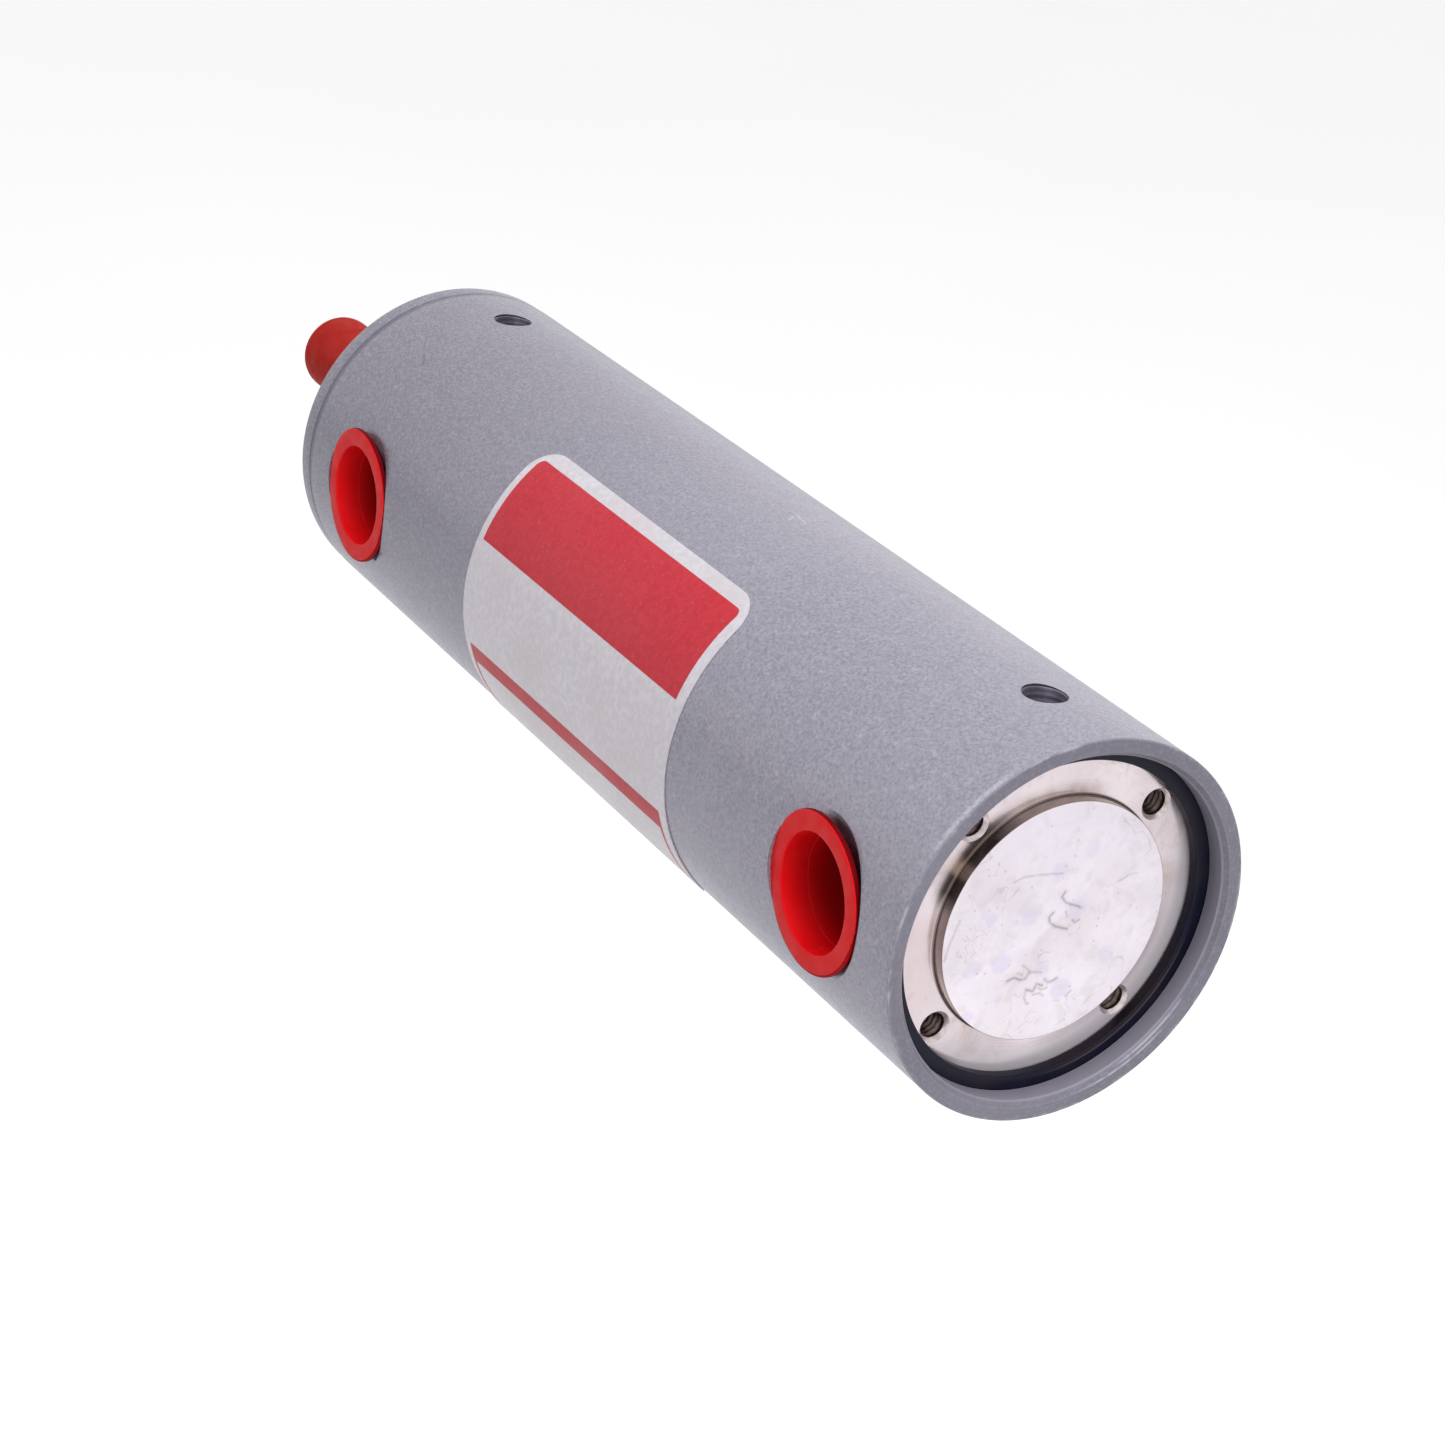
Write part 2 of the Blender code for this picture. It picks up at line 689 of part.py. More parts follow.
def make_piston_nut(material):
    """Hexagonal nut in the piston's pocket."""
    start = PISTON_REAR + NUT_POCKET_DEPTH - SEAT_GAP - NUT_THICKNESS
    corner = NUT_ACROSS_FLATS / math.sqrt(3)
    mesh = bpy.data.meshes.new("piston_nut")
    shape = bmesh.new()
    bmesh.ops.create_cone(
        shape,
        cap_ends=True,
        segments=6,
        radius1=corner * MM,
        radius2=corner * MM,
        depth=NUT_THICKNESS * MM,
    )
    shape.to_mesh(mesh)
    shape.free()
    nut = bpy.data.objects.new("piston_nut", mesh)
    nut.location = ((start + NUT_THICKNESS / 2) * MM, 0.0, 0.0)
    point_along(nut, "+X")
    add_part(nut, material)
    reach = NUT_THICKNESS
    bore = ROD_STUD_RADIUS + ROD_GAP
    profile = [(start + 2 * reach, 0.0), (start + 2 * reach, bore), (start - reach, bore), (start - reach, 0.0)]
    cut(nut, as_cutter(turned("nut_bore", profile, SMALL_STEPS)))
    return nut


def make_rod_o_ring(material):
    radius = ROD_STUD_RADIUS + ROD_GAP + ROD_RING_SECTION
    ring = section_ring("piston_o_ring", piston_ring_place(), radius, ROD_RING_SECTION, SMALL_STEPS)
    return add_part(ring, material)


def make_rod_guides(bushing_material, seal_material, wiper_material):
    """Bushing, pressure seal and wiper that the rod runs through."""
    bushing_start = FRONT_INNER_FACE + SEAT_GAP
    bushing_end = BUSHING_SEAT_END - SEAT_GAP
    bushing = square_ring(
        "rod_bushing", bushing_start, bushing_end, RUNNING_RADIUS, RUNNING_RADIUS + BUSHING_WALL, SMALL_STEPS
    )
    add_part(bushing, bushing_material)
    seal_start = SEAL_GLAND_START + SEAT_GAP
    seal_outer = RUNNING_RADIUS + ROD_SEAL_WIDTH
    seal = lip_ring(
        "rod_seal",
        seal_start,
        seal_start + ROD_SEAL_LENGTH,
        RUNNING_RADIUS,
        seal_outer,
        "start",
        SMALL_STEPS,
    )
    add_part(seal, seal_material)
    outer = RUNNING_RADIUS + WIPER_WIDTH
    lip_end = PILOT_FRONT + WIPER_LIP
    profile = [
        (lip_end, RUNNING_RADIUS + 0.25 * WIPER_WIDTH),
        (PILOT_FRONT, RUNNING_RADIUS + 0.6 * WIPER_WIDTH),
        (PILOT_FRONT, outer),
        (WIPER_SEAT + SEAT_GAP, outer),
        (WIPER_SEAT + SEAT_GAP, ROD_RADIUS + ROD_RELIEF_GAP),
        (PILOT_FRONT - WIPER_LENGTH / 2, RUNNING_RADIUS),
        (lip_end, RUNNING_RADIUS),
    ]
    add_part(turned("rod_wiper", profile, SMALL_STEPS, closed=True), wiper_material)


def rounded_corner(centre_height, centre_radius, size, steps=3):
    """Quarter round from the end face down to the side, as (height, radius) points."""
    points = []
    for i in range(steps + 1):
        angle = math.pi / 2 * (1 - i / steps)
        points.append((centre_height + size * math.sin(angle), centre_radius + size * math.cos(angle)))
    return points


def make_thread_cap(material):
    """Red cup pushed over the rod's thread."""
    inner = ROD_RADIUS + SEAT_GAP
    outer = inner + CAP_WALL
    inside_end = ROD_TIP + SEAT_GAP
    tip = inside_end + CAP_END_WALL
    mouth = tip - CAP_LENGTH
    profile = [(tip, 0.0)]
    profile += rounded_corner(tip - CAP_END_ROUND, outer - CAP_END_ROUND, CAP_END_ROUND)
    profile += [(mouth, outer), (mouth, inner), (inside_end, inner), (inside_end, 0.0)]
    return add_part(turned("rod_thread_cap", profile, SMALL_STEPS), material)


def make_port_plug(name, port_x, material):
    """Flanged, tapered red plug, open as a deep cup with a small step inside."""
    under = SPOTFACE_HEIGHT + SEAT_GAP / 2
    face = under + PLUG_FLANGE_THICKNESS
    floor = face - PLUG_CUP_DEPTH
    step = face - PLUG_STEP_DEPTH
    floor_radius = PLUG_MOUTH_RADIUS - PLUG_CUP_TAPER
    step_radius = PLUG_MOUTH_RADIUS - PLUG_CUP_TAPER * PLUG_STEP_DEPTH / PLUG_CUP_DEPTH
    neck = PORT_RADIUS - SEAT_GAP
    profile = [
        (floor, 0.0),
        (floor, floor_radius - PLUG_STEP),
        (step, step_radius - PLUG_STEP),
        (step, step_radius),
        (face, PLUG_MOUTH_RADIUS),
        (face, PLUG_FLANGE_RADIUS - PLUG_FLANGE_EDGE),
        (face - PLUG_FLANGE_EDGE, PLUG_FLANGE_RADIUS),
        (under, PLUG_FLANGE_RADIUS),
        (under, neck),
        (floor - PLUG_FLOOR, floor_radius - PLUG_STEP + PLUG_WALL),
        (floor - PLUG_FLOOR, 0.0),
    ]
    plug = turned(name, profile, LARGE_STEPS, direction="+Y")
    plug.location = (port_x * MM, 0.0, 0.0)
    return add_part(plug, material)


def label_rows():
    """Distance round the tube and half length of each row of the label's outline."""
    radius = BODY_RADIUS + LABEL_GAP
    half_arc = math.radians(LABEL_HALF_ANGLE) * radius
    half_length = LABEL_LENGTH / 2
    corner = []
    for i in range(LABEL_CORNER_STEPS + 1):
        angle = math.pi / 2 * i / LABEL_CORNER_STEPS
        arc = half_arc - LABEL_CORNER + LABEL_CORNER * math.sin(angle)
        length = half_length - LABEL_CORNER + LABEL_CORNER * math.cos(angle)
        corner.append((arc, length))
    straight = half_arc - LABEL_CORNER
    middle = []
    for i in range(1, LABEL_ARC_STEPS):
        middle.append((straight * (2 * i / LABEL_ARC_STEPS - 1), half_length))
    low = [(-arc, length) for arc, length in reversed(corner)]
    return low + middle + corner


def make_label(material):
    """Thin sheet with rounded corners wrapped round the port side of the tube."""
    rows = label_rows()
    radius = BODY_RADIUS + LABEL_GAP
    centre = BODY_LENGTH / 2 + LABEL_OFFSET
    mesh = bpy.data.meshes.new("product_label")
    shape = bmesh.new()
    bmesh.ops.create_grid(shape, x_segments=1, y_segments=len(rows) - 1, size=1.0)
    for vertex in shape.verts:
        row = round((vertex.co.y + 1.0) / 2.0 * (len(rows) - 1))
        arc, length = rows[row]
        angle = arc / radius
        along = centre + math.copysign(length, vertex.co.x)
        vertex.co = (along * MM, radius * math.cos(angle) * MM, radius * math.sin(angle) * MM)
    bmesh.ops.recalc_face_normals(shape, faces=shape.faces)
    shape.to_mesh(mesh)
    shape.free()
    label = bpy.data.objects.new("product_label", mesh)
    add_part(label, material)
    thicken = label.modifiers.new("thickness", "SOLIDIFY")
    thicken.thickness = LABEL_THICKNESS * MM
    outwards = mesh.polygons[0].normal.y > 0
    thicken.offset = 1.0 if outwards else -1.0
    return label


def build():
    anodised = make_material("anodised_grey", (0.36, 0.35, 0.38), 0.45, 0.6)
    stainless = make_material("stainless_tube", (0.62, 0.61, 0.60), 0.3, 1.0)
    turned_alloy = make_material("turned_alloy", (0.72, 0.70, 0.68), 0.25, 1.0)
    plated_steel = make_material("plated_steel", (0.55, 0.54, 0.50), 0.35, 1.0)
    black_steel = make_material("black_spring_steel", (0.02, 0.02, 0.03), 0.4, 0.8)
    chrome = make_material("ground_chrome", (0.75, 0.75, 0.76), 0.12, 1.0)
    alloy = make_material("plain_aluminium", (0.7, 0.7, 0.72), 0.35, 1.0)
    bronze = make_material("bronze", (0.55, 0.36, 0.16), 0.4, 1.0)
    nitrile = make_material("black_nitrile", (0.02, 0.02, 0.02), 0.6)
    urethane = make_material("amber_urethane", (0.45, 0.27, 0.06), 0.5)
    wear_plastic = make_material("wear_plastic", (0.16, 0.15, 0.13), 0.5)
    red_plastic = make_material("red_plastic", (0.68, 0.03, 0.02), 0.3)
    label_film = make_material("label_film", (0.62, 0.55, 0.57), 0.4)

    rear_port = port_cutter("rear_port", PORT_X)
    front_port = port_cutter("front_port", FRONT_PORT_X)
    rear_side_hole = side_hole_cutter("rear_side_hole", SIDE_HOLE_X)
    front_side_hole = side_hole_cutter("front_side_hole", FRONT_SIDE_HOLE_X)

    make_outer_body(anodised, [rear_port, front_port], [rear_side_hole, front_side_hole])
    make_inner_tube(stainless)
    make_retaining_ring(black_steel)
    make_rear_head(turned_alloy, rear_port, rear_side_hole)
    make_front_head(anodised, front_port, front_side_hole)
    make_head_rings(nitrile)
    make_bumpers(urethane)
    make_piston(alloy)
    make_piston_rings(nitrile, wear_plastic)
    make_rod(chrome)
    make_piston_nut(plated_steel)
    make_rod_o_ring(nitrile)
    make_rod_guides(bronze, nitrile, urethane)
    make_thread_cap(red_plastic)
    make_port_plug("rear_port_plug", PORT_X, red_plastic)
    make_port_plug("front_port_plug", FRONT_PORT_X, red_plastic)
    make_label(label_film)

    bpy.context.view_layer.update()
    for item in PARTS.objects:
        shade_round(item.data)


build()
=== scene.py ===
"""Looks of the double-wall pneumatic cylinder: fine meshes, finishes, light and camera.

Metres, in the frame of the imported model: +X along the axis towards the rod, +Y out of the
ports, +Z out of the side holes. Sizes named here are in millimetres until a mesh is made.
"""

import math

import bmesh
import bpy
from mathutils import Matrix, Vector


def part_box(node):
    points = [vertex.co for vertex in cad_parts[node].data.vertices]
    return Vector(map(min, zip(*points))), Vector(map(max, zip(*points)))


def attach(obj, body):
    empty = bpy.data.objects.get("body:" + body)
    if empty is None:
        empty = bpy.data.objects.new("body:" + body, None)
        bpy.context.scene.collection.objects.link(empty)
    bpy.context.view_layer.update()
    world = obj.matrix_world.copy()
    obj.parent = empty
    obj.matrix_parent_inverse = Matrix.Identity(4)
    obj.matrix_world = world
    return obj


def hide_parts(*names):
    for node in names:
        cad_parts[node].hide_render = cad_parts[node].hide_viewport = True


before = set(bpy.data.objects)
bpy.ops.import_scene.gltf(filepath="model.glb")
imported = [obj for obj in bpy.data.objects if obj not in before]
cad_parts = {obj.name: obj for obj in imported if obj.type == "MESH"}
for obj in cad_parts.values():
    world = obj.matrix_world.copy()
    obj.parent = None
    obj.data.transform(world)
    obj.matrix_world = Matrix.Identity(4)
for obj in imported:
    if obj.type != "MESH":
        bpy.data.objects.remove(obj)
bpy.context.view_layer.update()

MM = 0.001
PI = math.pi


def box_mm(node):
    """A node's lowest and highest corner in millimetres."""
    low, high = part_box(node)
    return low / MM, high / MM


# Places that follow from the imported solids
BODY_LOW, BODY_HIGH = box_mm("outer_body")
REAR_END = BODY_LOW.x
FRONT_END = BODY_HIGH.x
BODY_RADIUS = BODY_HIGH.z
RING_LOW, RING_HIGH = box_mm("rear_retaining_ring")
REAR_HEAD_LOW, REAR_HEAD_HIGH = box_mm("rear_head")
FRONT_HEAD_LOW, FRONT_HEAD_HIGH = box_mm("front_head")
TUBE_LOW, TUBE_HIGH = box_mm("inner_tube")
CAP_LOW, CAP_HIGH = box_mm("rod_thread_cap")
WIPER_START = box_mm("rod_wiper")[0].x
LABEL_LOW, LABEL_HIGH = box_mm("product_label")
PLUG_LOW, PLUG_HIGH = box_mm("rear_port_plug")
FRONT_PLUG_LOW, FRONT_PLUG_HIGH = box_mm("front_port_plug")
REAR_PORT_X = (PLUG_LOW.x + PLUG_HIGH.x) / 2
FRONT_PORT_X = (FRONT_PLUG_LOW.x + FRONT_PLUG_HIGH.x) / 2

# Outer tube
BODY_BORE = 22.92
BODY_EDGE = 0.2
RIM_INNER = 23.57
RIM_CHAMFER = 0.83
GROOVE_RADIUS = 23.92
SPOTFACE_RADIUS = 10.3
SPOTFACE_HEIGHT = 23.9
PORT_RADIUS = 8.75
PORT_FLOOR_RADIUS = 7.9
PORT_FLOOR_HEIGHT = 10.6
SIDE_HOLE_OFFSET = 13.3
SIDE_HOLE_RADIUS = 2.9
SIDE_HOLE_DEPTH = 8.5
REAR_SIDE_X = REAR_END + SIDE_HOLE_OFFSET
FRONT_SIDE_X = FRONT_END - SIDE_HOLE_OFFSET

# The ports and plugs sit a little low, and the plugs lean by some degrees
PORT_TURN = -1.2
PLUG_LEAN_AXIS = (0.495, 0.0, 0.868)
REAR_PLUG_SET = (REAR_PORT_X + 0.2, -1.82, -0.11)
FRONT_PLUG_SET = (FRONT_PORT_X + 0.1, -0.4, 0.02)

# Heads
HEAD_RADIUS = 22.62
BOSS_RADIUS = 15.95
BOSS_HEIGHT = 1.83
SPIGOT_RADIUS = 18.95
FLANGE_RADIUS = 25.3
FLANGE_THICKNESS = 3.65
PILOT_HEIGHT = 3.0
FACE_HOLE_RADIUS = 2.14
FACE_HOLE_CIRCLE = 18.92
FACE_HOLE_DEPTH = 9.5

SEAL_GROOVE = (4.0, 1.6, 1.75)
BUMPER_RECESS = (12.9, 9.2, 1.2)
TUBE_GAP = 0.15
BUSHING_LENGTH = 17.8
BUSHING_RADIUS = 8.005
LAND_LENGTH = 2.0
GLAND_LENGTH = 5.9
GLAND_RADIUS = 8.805
WIPER_RADIUS = 8.705
ROD_BORE = 5.905

# Threads: outer, crest and root radius, pitch, depth and countersink
FACE_THREAD = (FACE_HOLE_RADIUS - 0.01, 1.66, 2.02, 0.794, FACE_HOLE_DEPTH, 0.5)
SIDE_THREAD = (SIDE_HOLE_RADIUS - 0.01, 2.78, 2.88, 0.907, SIDE_HOLE_DEPTH - 0.4, 0.12)

# Retaining ring, plugs and cap
RING_INNER = 21.1
RING_GAP = (6.0, 6.0, 3.0)
PLUG_RADIUS = 10.15
CAP_RADIUS = 6.455
CAP_BORE = 5.705
CAP_END_WALL = 1.2

# Fineness of the turned meshes
FINE = 192
MEDIUM = 96
THREAD_STEPS = 40
THREAD_ROWS = 8
CORNER_STEPS = 12
LABEL_ROWS = 60
LABEL_COLUMNS = 24
SHARP_ANGLE = math.radians(32)


def rgb(red, green, blue):
    """Linear colour of an ordinary screen colour given as 0 to 255."""
    values = []
    for value in (red, green, blue):
        level = value / 255
        values.append(level / 12.92 if level <= 0.04045 else ((level + 0.055) / 1.055) ** 2.4)
    return (*values, 1.0)


# Node helpers


class Nodes:
    """Node tree of a material or the world, with short calls for the nodes used here."""

    def __init__(self, name, owners=bpy.data.materials, shader="Principled BSDF"):
        self.owner = owners.new(name)
        self.owner.use_nodes = True
        self.tree = self.owner.node_tree
        self.shader = self.tree.nodes[shader]
        self.place = self.node("ShaderNodeTexCoord").outputs["Object"]

    def put(self, target, value):
        """Link a socket, or set a plain value."""
        if isinstance(value, bpy.types.NodeSocket):
            self.tree.links.new(value, target)
        else:
            target.default_value = value

    def node(self, kind, inputs=None, **values):
        """New node with its settings and its inputs, which are named or numbered."""
        item = self.tree.nodes.new(kind)
        for key, value in values.items():
            setattr(item, key, value)
        for key, value in (inputs or {}).items():
            self.put(item.inputs[key], value)
        return item

    def calc(self, operation, *values, clamp=False):
        inputs = dict(enumerate(values))
        return self.node("ShaderNodeMath", inputs, operation=operation, use_clamp=clamp).outputs[0]

    def times(self, *factors):
        result = factors[0]
        for factor in factors[1:]:
            result = self.calc("MULTIPLY", result, factor)
        return result

    def plus(self, first, second):
        return self.calc("ADD", first, second)

    def minus(self, first, second):
        return self.calc("SUBTRACT", first, second)

    def gap(self, first, second):
        """How far two values are apart, without a sign."""
        return self.calc("ABSOLUTE", self.minus(first, second))

    def most(self, first, second):
        return self.calc("MAXIMUM", first, second)

    def length(self, first, second):
        """Length of the long side over two sides at a right angle."""
        return self.calc("SQRT", self.plus(self.times(first, first), self.times(second, second)))

    def axes(self):
        """The place along x, y and z in millimetres."""
        place = self.vector("SCALE", self.place, 1 / MM)
        return self.node("ShaderNodeSeparateXYZ", {0: place}).outputs[:]

    def polar(self):
        """Distance from the cylinder's axis in millimetres, and degrees round it from +Y."""
        x, y, z = self.axes()
        return self.length(y, z), self.times(self.calc("ARCTAN2", z, y), 180 / PI)

    def joined(self, x, y, z):
        return self.node("ShaderNodeCombineXYZ", {0: x, 1: y, 2: z}).outputs[0]

    def noise(self, scale, detail=2.0, roughness=0.5, place=None, distortion=0.0):
        inputs = {"Vector": place or self.place, "Scale": scale, "Detail": detail}
        inputs.update({"Roughness": roughness, "Distortion": distortion})
        return self.node("ShaderNodeTexNoise", inputs).outputs["Fac"]

    def spots(self, scale, share, smallest, largest, place=None, flat=False):
        """Mask of scattered round spots with radii in millimetres. A share of the cells hold one."""
        inputs = {"Vector": place or self.place, "Scale": scale}
        cells = self.node("ShaderNodeTexVoronoi", inputs, voronoi_dimensions="2D" if flat else "3D")
        chances = self.node("ShaderNodeSeparateColor", {0: cells.outputs["Color"]}).outputs
        distance = self.calc("DIVIDE", cells.outputs["Distance"], scale)
        radius = self.step(chances[1], 0.0, 1.0, smallest * MM, largest * MM)
        inside = self.step(self.calc("DIVIDE", distance, radius), 1.0, 0.6)
        return self.times(inside, self.calc("LESS_THAN", chances[0], share))

    def vector(self, operation, first, second, output="Vector"):
        inputs = {0: first, "Scale" if operation == "SCALE" else 1: second}
        return self.node("ShaderNodeVectorMath", inputs, operation=operation).outputs[output]

    def wobbled(self, place, scale, reach):
        """A place shifted by up to about reach, in metres, in a slow random way."""
        chance = self.node("ShaderNodeTexNoise", {"Vector": place, "Scale": scale}).outputs["Color"]
        shift = self.vector("SUBTRACT", chance, (0.5, 0.5, 0.5))
        return self.vector("ADD", place, self.vector("SCALE", shift, reach * 2))

    def strokes(self, place, lines):
        """Distance in millimetres to the nearest of some lines through flat points."""
        nearest = None
        for line in lines:
            for start, end in zip(line, line[1:]):
                origin = Vector((*start, 0.0)) * MM
                run = Vector((*end, 0.0)) * MM - origin
                offset = self.vector("SUBTRACT", place, origin)
                share = self.vector("DOT_PRODUCT", offset, run / run.length_squared, "Value")
                share = self.calc("ADD", share, 0.0, clamp=True)
                gap = self.vector("DISTANCE", offset, self.vector("SCALE", run, share), "Value")
                nearest = self.calc("MINIMUM", nearest, gap) if nearest else gap
        return self.calc("DIVIDE", nearest, MM)

    def step(self, value, low=0.3, high=0.7, to_low=0.0, to_high=1.0):
        """Smooth change from to_low to to_high as value goes from low to high."""
        inputs = {"Value": value, "From Min": low, "From Max": high, "To Min": to_low, "To Max": to_high}
        return self.node("ShaderNodeMapRange", inputs, interpolation_type="SMOOTHSTEP").outputs["Result"]

    def band(self, value, rise, full, hold, fall):
        """Mask that rises between the first two values and falls between the last two."""
        return self.times(self.step(value, rise, full), self.step(value, fall, hold))

    def mix(self, amount, first, second):
        return self.node("ShaderNodeMix", {0: amount, 6: first, 7: second}, data_type="RGBA").outputs[2]

    def base(self, amount, first, second):
        """Start the surface's colour as a mix of two screen colours."""
        self.colour = self.mix(amount, rgb(*first), rgb(*second))

    def paint(self, mask, red, green, blue, share=1.0):
        """Lay a share of a screen colour over the surface's colour where the mask is."""
        self.colour = self.mix(self.times(mask, share), self.colour, rgb(red, green, blue))

    def bump(self, height, distance, strength=1.0, normal=None):
        inputs = {"Strength": strength, "Distance": distance, "Height": height}
        if normal:
            inputs["Normal"] = normal
        return self.node("ShaderNodeBump", inputs).outputs["Normal"]

    def shade(self, **sockets):
        """Set the shader's sockets, named with low lines for spaces."""
        for name, value in sockets.items():
            self.put(self.shader.inputs[name.replace("_", " ")], value)
        return self.owner

    def surface(self, **sockets):
        """The finished material: its colour and the shader's other sockets."""
        return self.shade(Base_Color=self.colour, **sockets)

    def stretched(self, x, y, z):
        return self.node("ShaderNodeMapping", {"Vector": self.place, "Scale": (x, y, z)}).outputs["Vector"]


# Materials

# Marks on the outer tube as (x, arc round the tube) in millimetres
LIGHT_MARKS = [
    [(66.4, 40.2), (69.6, 40.9)],
    [(67.9, 38.6), (68.8, 39.9)],
]
DARK_MARKS = [
    [(150.4, 22.6), (151.2, 23.3), (152.6, 23.9)],
]

# Scratches on the boss as (y, z) in millimetres, the fainter ones apart, and spots as (y, z, radius)
BOSS_SCRATCHES = [
    [(-0.7, 4), (-0.35, 3.4), (-0.9, 2.6), (-1.8, 2.2), (-3.4, 1.6)],
    [(0.5, 1.3), (0.95, 0.8), (0.7, 0), (-0.1, -0.55), (-2.1, -1.2)],
    [(-2.7, -0.1), (-3.1, -0.4), (-3.6, -0.2)],
    [(2.2, -8.9), (1.1, -9.3), (0.8, -8.3), (-0.1, -8.6)],
    [(-0.3, -7.8), (-0.9, -8.3), (-1.5, -8.2), (-2.1, -7.9)],
    [(5.3, -7.3), (4.4, -7), (3.4, -7.4), (2.7, -7.3), (2.2, -6.4)],
]
BOSS_HAIRLINES = [
    [(3.4, -5.4), (2.2, -6.4), (0.4, -6.8)],
    [(-1.4, 1.2), (-1.7, 0.6)],
    [(2.2, -9.2), (2.3, -9.9), (1.8, -10.8), (1.4, -10.9)],
    [(1, -9.8), (0.2, -9.6), (-0.6, -10.1)],
    [(0.4, -8.9), (-0.1, -9.2), (-0.9, -9)],
    [(4, -6.4), (3.2, -6.8)],
    [(-2.4, -11), (-3.2, -11.1)],
    [(-4.2, -10.5), (-4.7, -10)],
    [(7.2, 6.1), (6, 6.7), (2.8, 6.7), (0.3, 6.5)],
    [(15.26, -3.31), (15, -1.31), (14.17, 1.9)],
    [(-8.4, 4.4), (-9.9, 5.2), (-11, 5.3)],
]
BOSS_SPOTS = [
    (6.7, -4.7, 1.7), (-2.9, 1.3, 1.7), (-3, -9.5, 1.8), (0.7, 6.9, 1.4), (3.8, 1.1, 1.5), (9.6, 1.5, 1.1),
]


def anodised_material():
    """Grey anodised aluminium: fine blasted texture, worm-like light flecks and a few marks, with painted
    shade towards the front end, a painted highlight behind the rear edge and painted shadows beside the
    plugs.
    """
    m = Nodes("anodised_grey")
    x, y, z = m.axes()
    arc = m.times(m.calc("ARCTAN2", z, y), BODY_RADIUS)
    broad = m.noise(28, 3)
    grain = m.noise(2300, 3, 0.6, distortion=0.4)
    dapple = m.noise(620, 2)
    m.base(m.step(broad), (150, 147, 162), (157, 154, 168))
    fade = m.step(x, 50, 140, 1, 0.4)
    m.paint(m.times(m.step(dapple, 0.35, 0.65), fade), 144, 142, 158, 0.35)
    # Painted shade: the tube darker towards its front end.
    m.paint(m.step(x, 50, 165), 124, 121, 135, 0.8)
    half_fade = m.calc("MULTIPLY_ADD", fade, 0.5, 0.5)
    m.paint(m.times(m.step(grain, 0.4, 0.66), half_fade), 176, 173, 186, 0.85)
    m.paint(m.times(m.step(grain, 0.44, 0.3), fade), 126, 124, 138, 0.5)
    worm = m.gap(m.noise(820, 1, 0.5, distortion=0.8), 0.5)
    flecks = m.times(m.step(worm, 0.024, 0.006), m.step(m.noise(900, 1), 0.5, 0.6))
    m.paint(m.times(flecks, fade, 0.5), 198, 195, 204)
    pits = m.spots(330, 0.015, 0.08, 0.18)
    m.paint(pits, 84, 82, 92, 0.5)
    near_end = m.step(x, REAR_END + 1.5, REAR_END + 0.5)
    patchy = m.step(m.noise(90, 1), 0.42, 0.58)
    upper = m.band(arc, 6, 12, 25, 32)
    edge_chips = m.times(upper, m.step(x, REAR_END + 0.8, REAR_END + 0.4))
    patchy = m.times(m.most(patchy, edge_chips), near_end)
    chips = m.times(m.spots(900, 0.35, 0.09, 0.2), patchy)
    m.paint(chips, 218, 216, 224, 0.8)
    # Painted highlight: a lighter band just behind the rear edge, about 27 to 63 degrees round from the
    # ports.
    wear_and_highlight = m.band(arc, 12, 16, 24, 28)
    band = m.band(x, REAR_END + 0.1, REAR_END + 0.4, REAR_END + 0.7, REAR_END + 1.1)
    wear_and_highlight = m.times(wear_and_highlight, band, m.step(grain, 0.3, 0.6, 0.3, 0.8))
    m.paint(wear_and_highlight, 200, 197, 212)
    soil = m.times(m.spots(620, 0.1, 0.1, 0.26), near_end)
    low = m.band(arc, -5, -1.5, 1, 4)
    low = m.times(low, near_end, m.spots(1000, 0.4, 0.1, 0.25))
    soil = m.most(soil, low)
    m.paint(soil, 66, 60, 64, 0.65)
    # Painted shadow: a dark red to near-black crescent on the tube beside each plug's flange, towards -X
    # and +Z, strong at the rear plug and faint at the front one.
    painted_shadow_by_plugs = None
    for port_x, strength in ((REAR_PORT_X, 0.92), (FRONT_PORT_X, 0.35)):
        across = m.minus(x, port_x)
        plug_shadow = m.step(m.length(across, m.plus(z, 0.6)), 10.5, 10.28)
        slope = m.calc("MULTIPLY_ADD", across, -0.8, m.times(z, 0.6))
        side = m.times(m.step(slope, 3, 6, 0, strength), m.calc("GREATER_THAN", y, 0))
        plug_shadow = m.times(plug_shadow, side)
        painted_shadow_by_plugs = m.most(painted_shadow_by_plugs, plug_shadow) if painted_shadow_by_plugs else plug_shadow
    dirt_and_shadow = m.mix(m.step(z, 2, 6), rgb(104, 0, 14), rgb(22, 2, 10))
    m.colour = m.mix(painted_shadow_by_plugs, m.colour, dirt_and_shadow)
    unrolled = m.vector("SCALE", m.joined(x, arc, 0), MM)
    shaken = m.wobbled(unrolled, 400, 0.0002)
    light = m.step(m.strokes(shaken, LIGHT_MARKS), 0.26, 0.1)
    dark = m.step(m.strokes(shaken, DARK_MARKS), 0.32, 0.1)
    m.paint(light, 208, 205, 214, 0.6)
    m.paint(dark, 84, 82, 92, 0.5)
    seam = m.step(m.gap(x, FRONT_END - 0.25), 1, 0.4)
    seam = m.times(seam, m.step(m.noise(60, 2), 0.3, 0.6, 0.7, 1))
    m.paint(seam, 84, 82, 102, 0.8)
    roughness = m.step(dapple, 0.2, 0.8, 0.22, 0.3)
    normal = m.bump(grain, 0.00002, 0.45)
    normal = m.bump(m.plus(flecks, m.times(pits, -1)), 0.00001, 0.4, normal)
    m.shade(Specular_IOR_Level=0.85, Specular_Tint=rgb(246, 240, 255))
    return m.surface(Metallic=0.2, Roughness=roughness, Normal=normal)


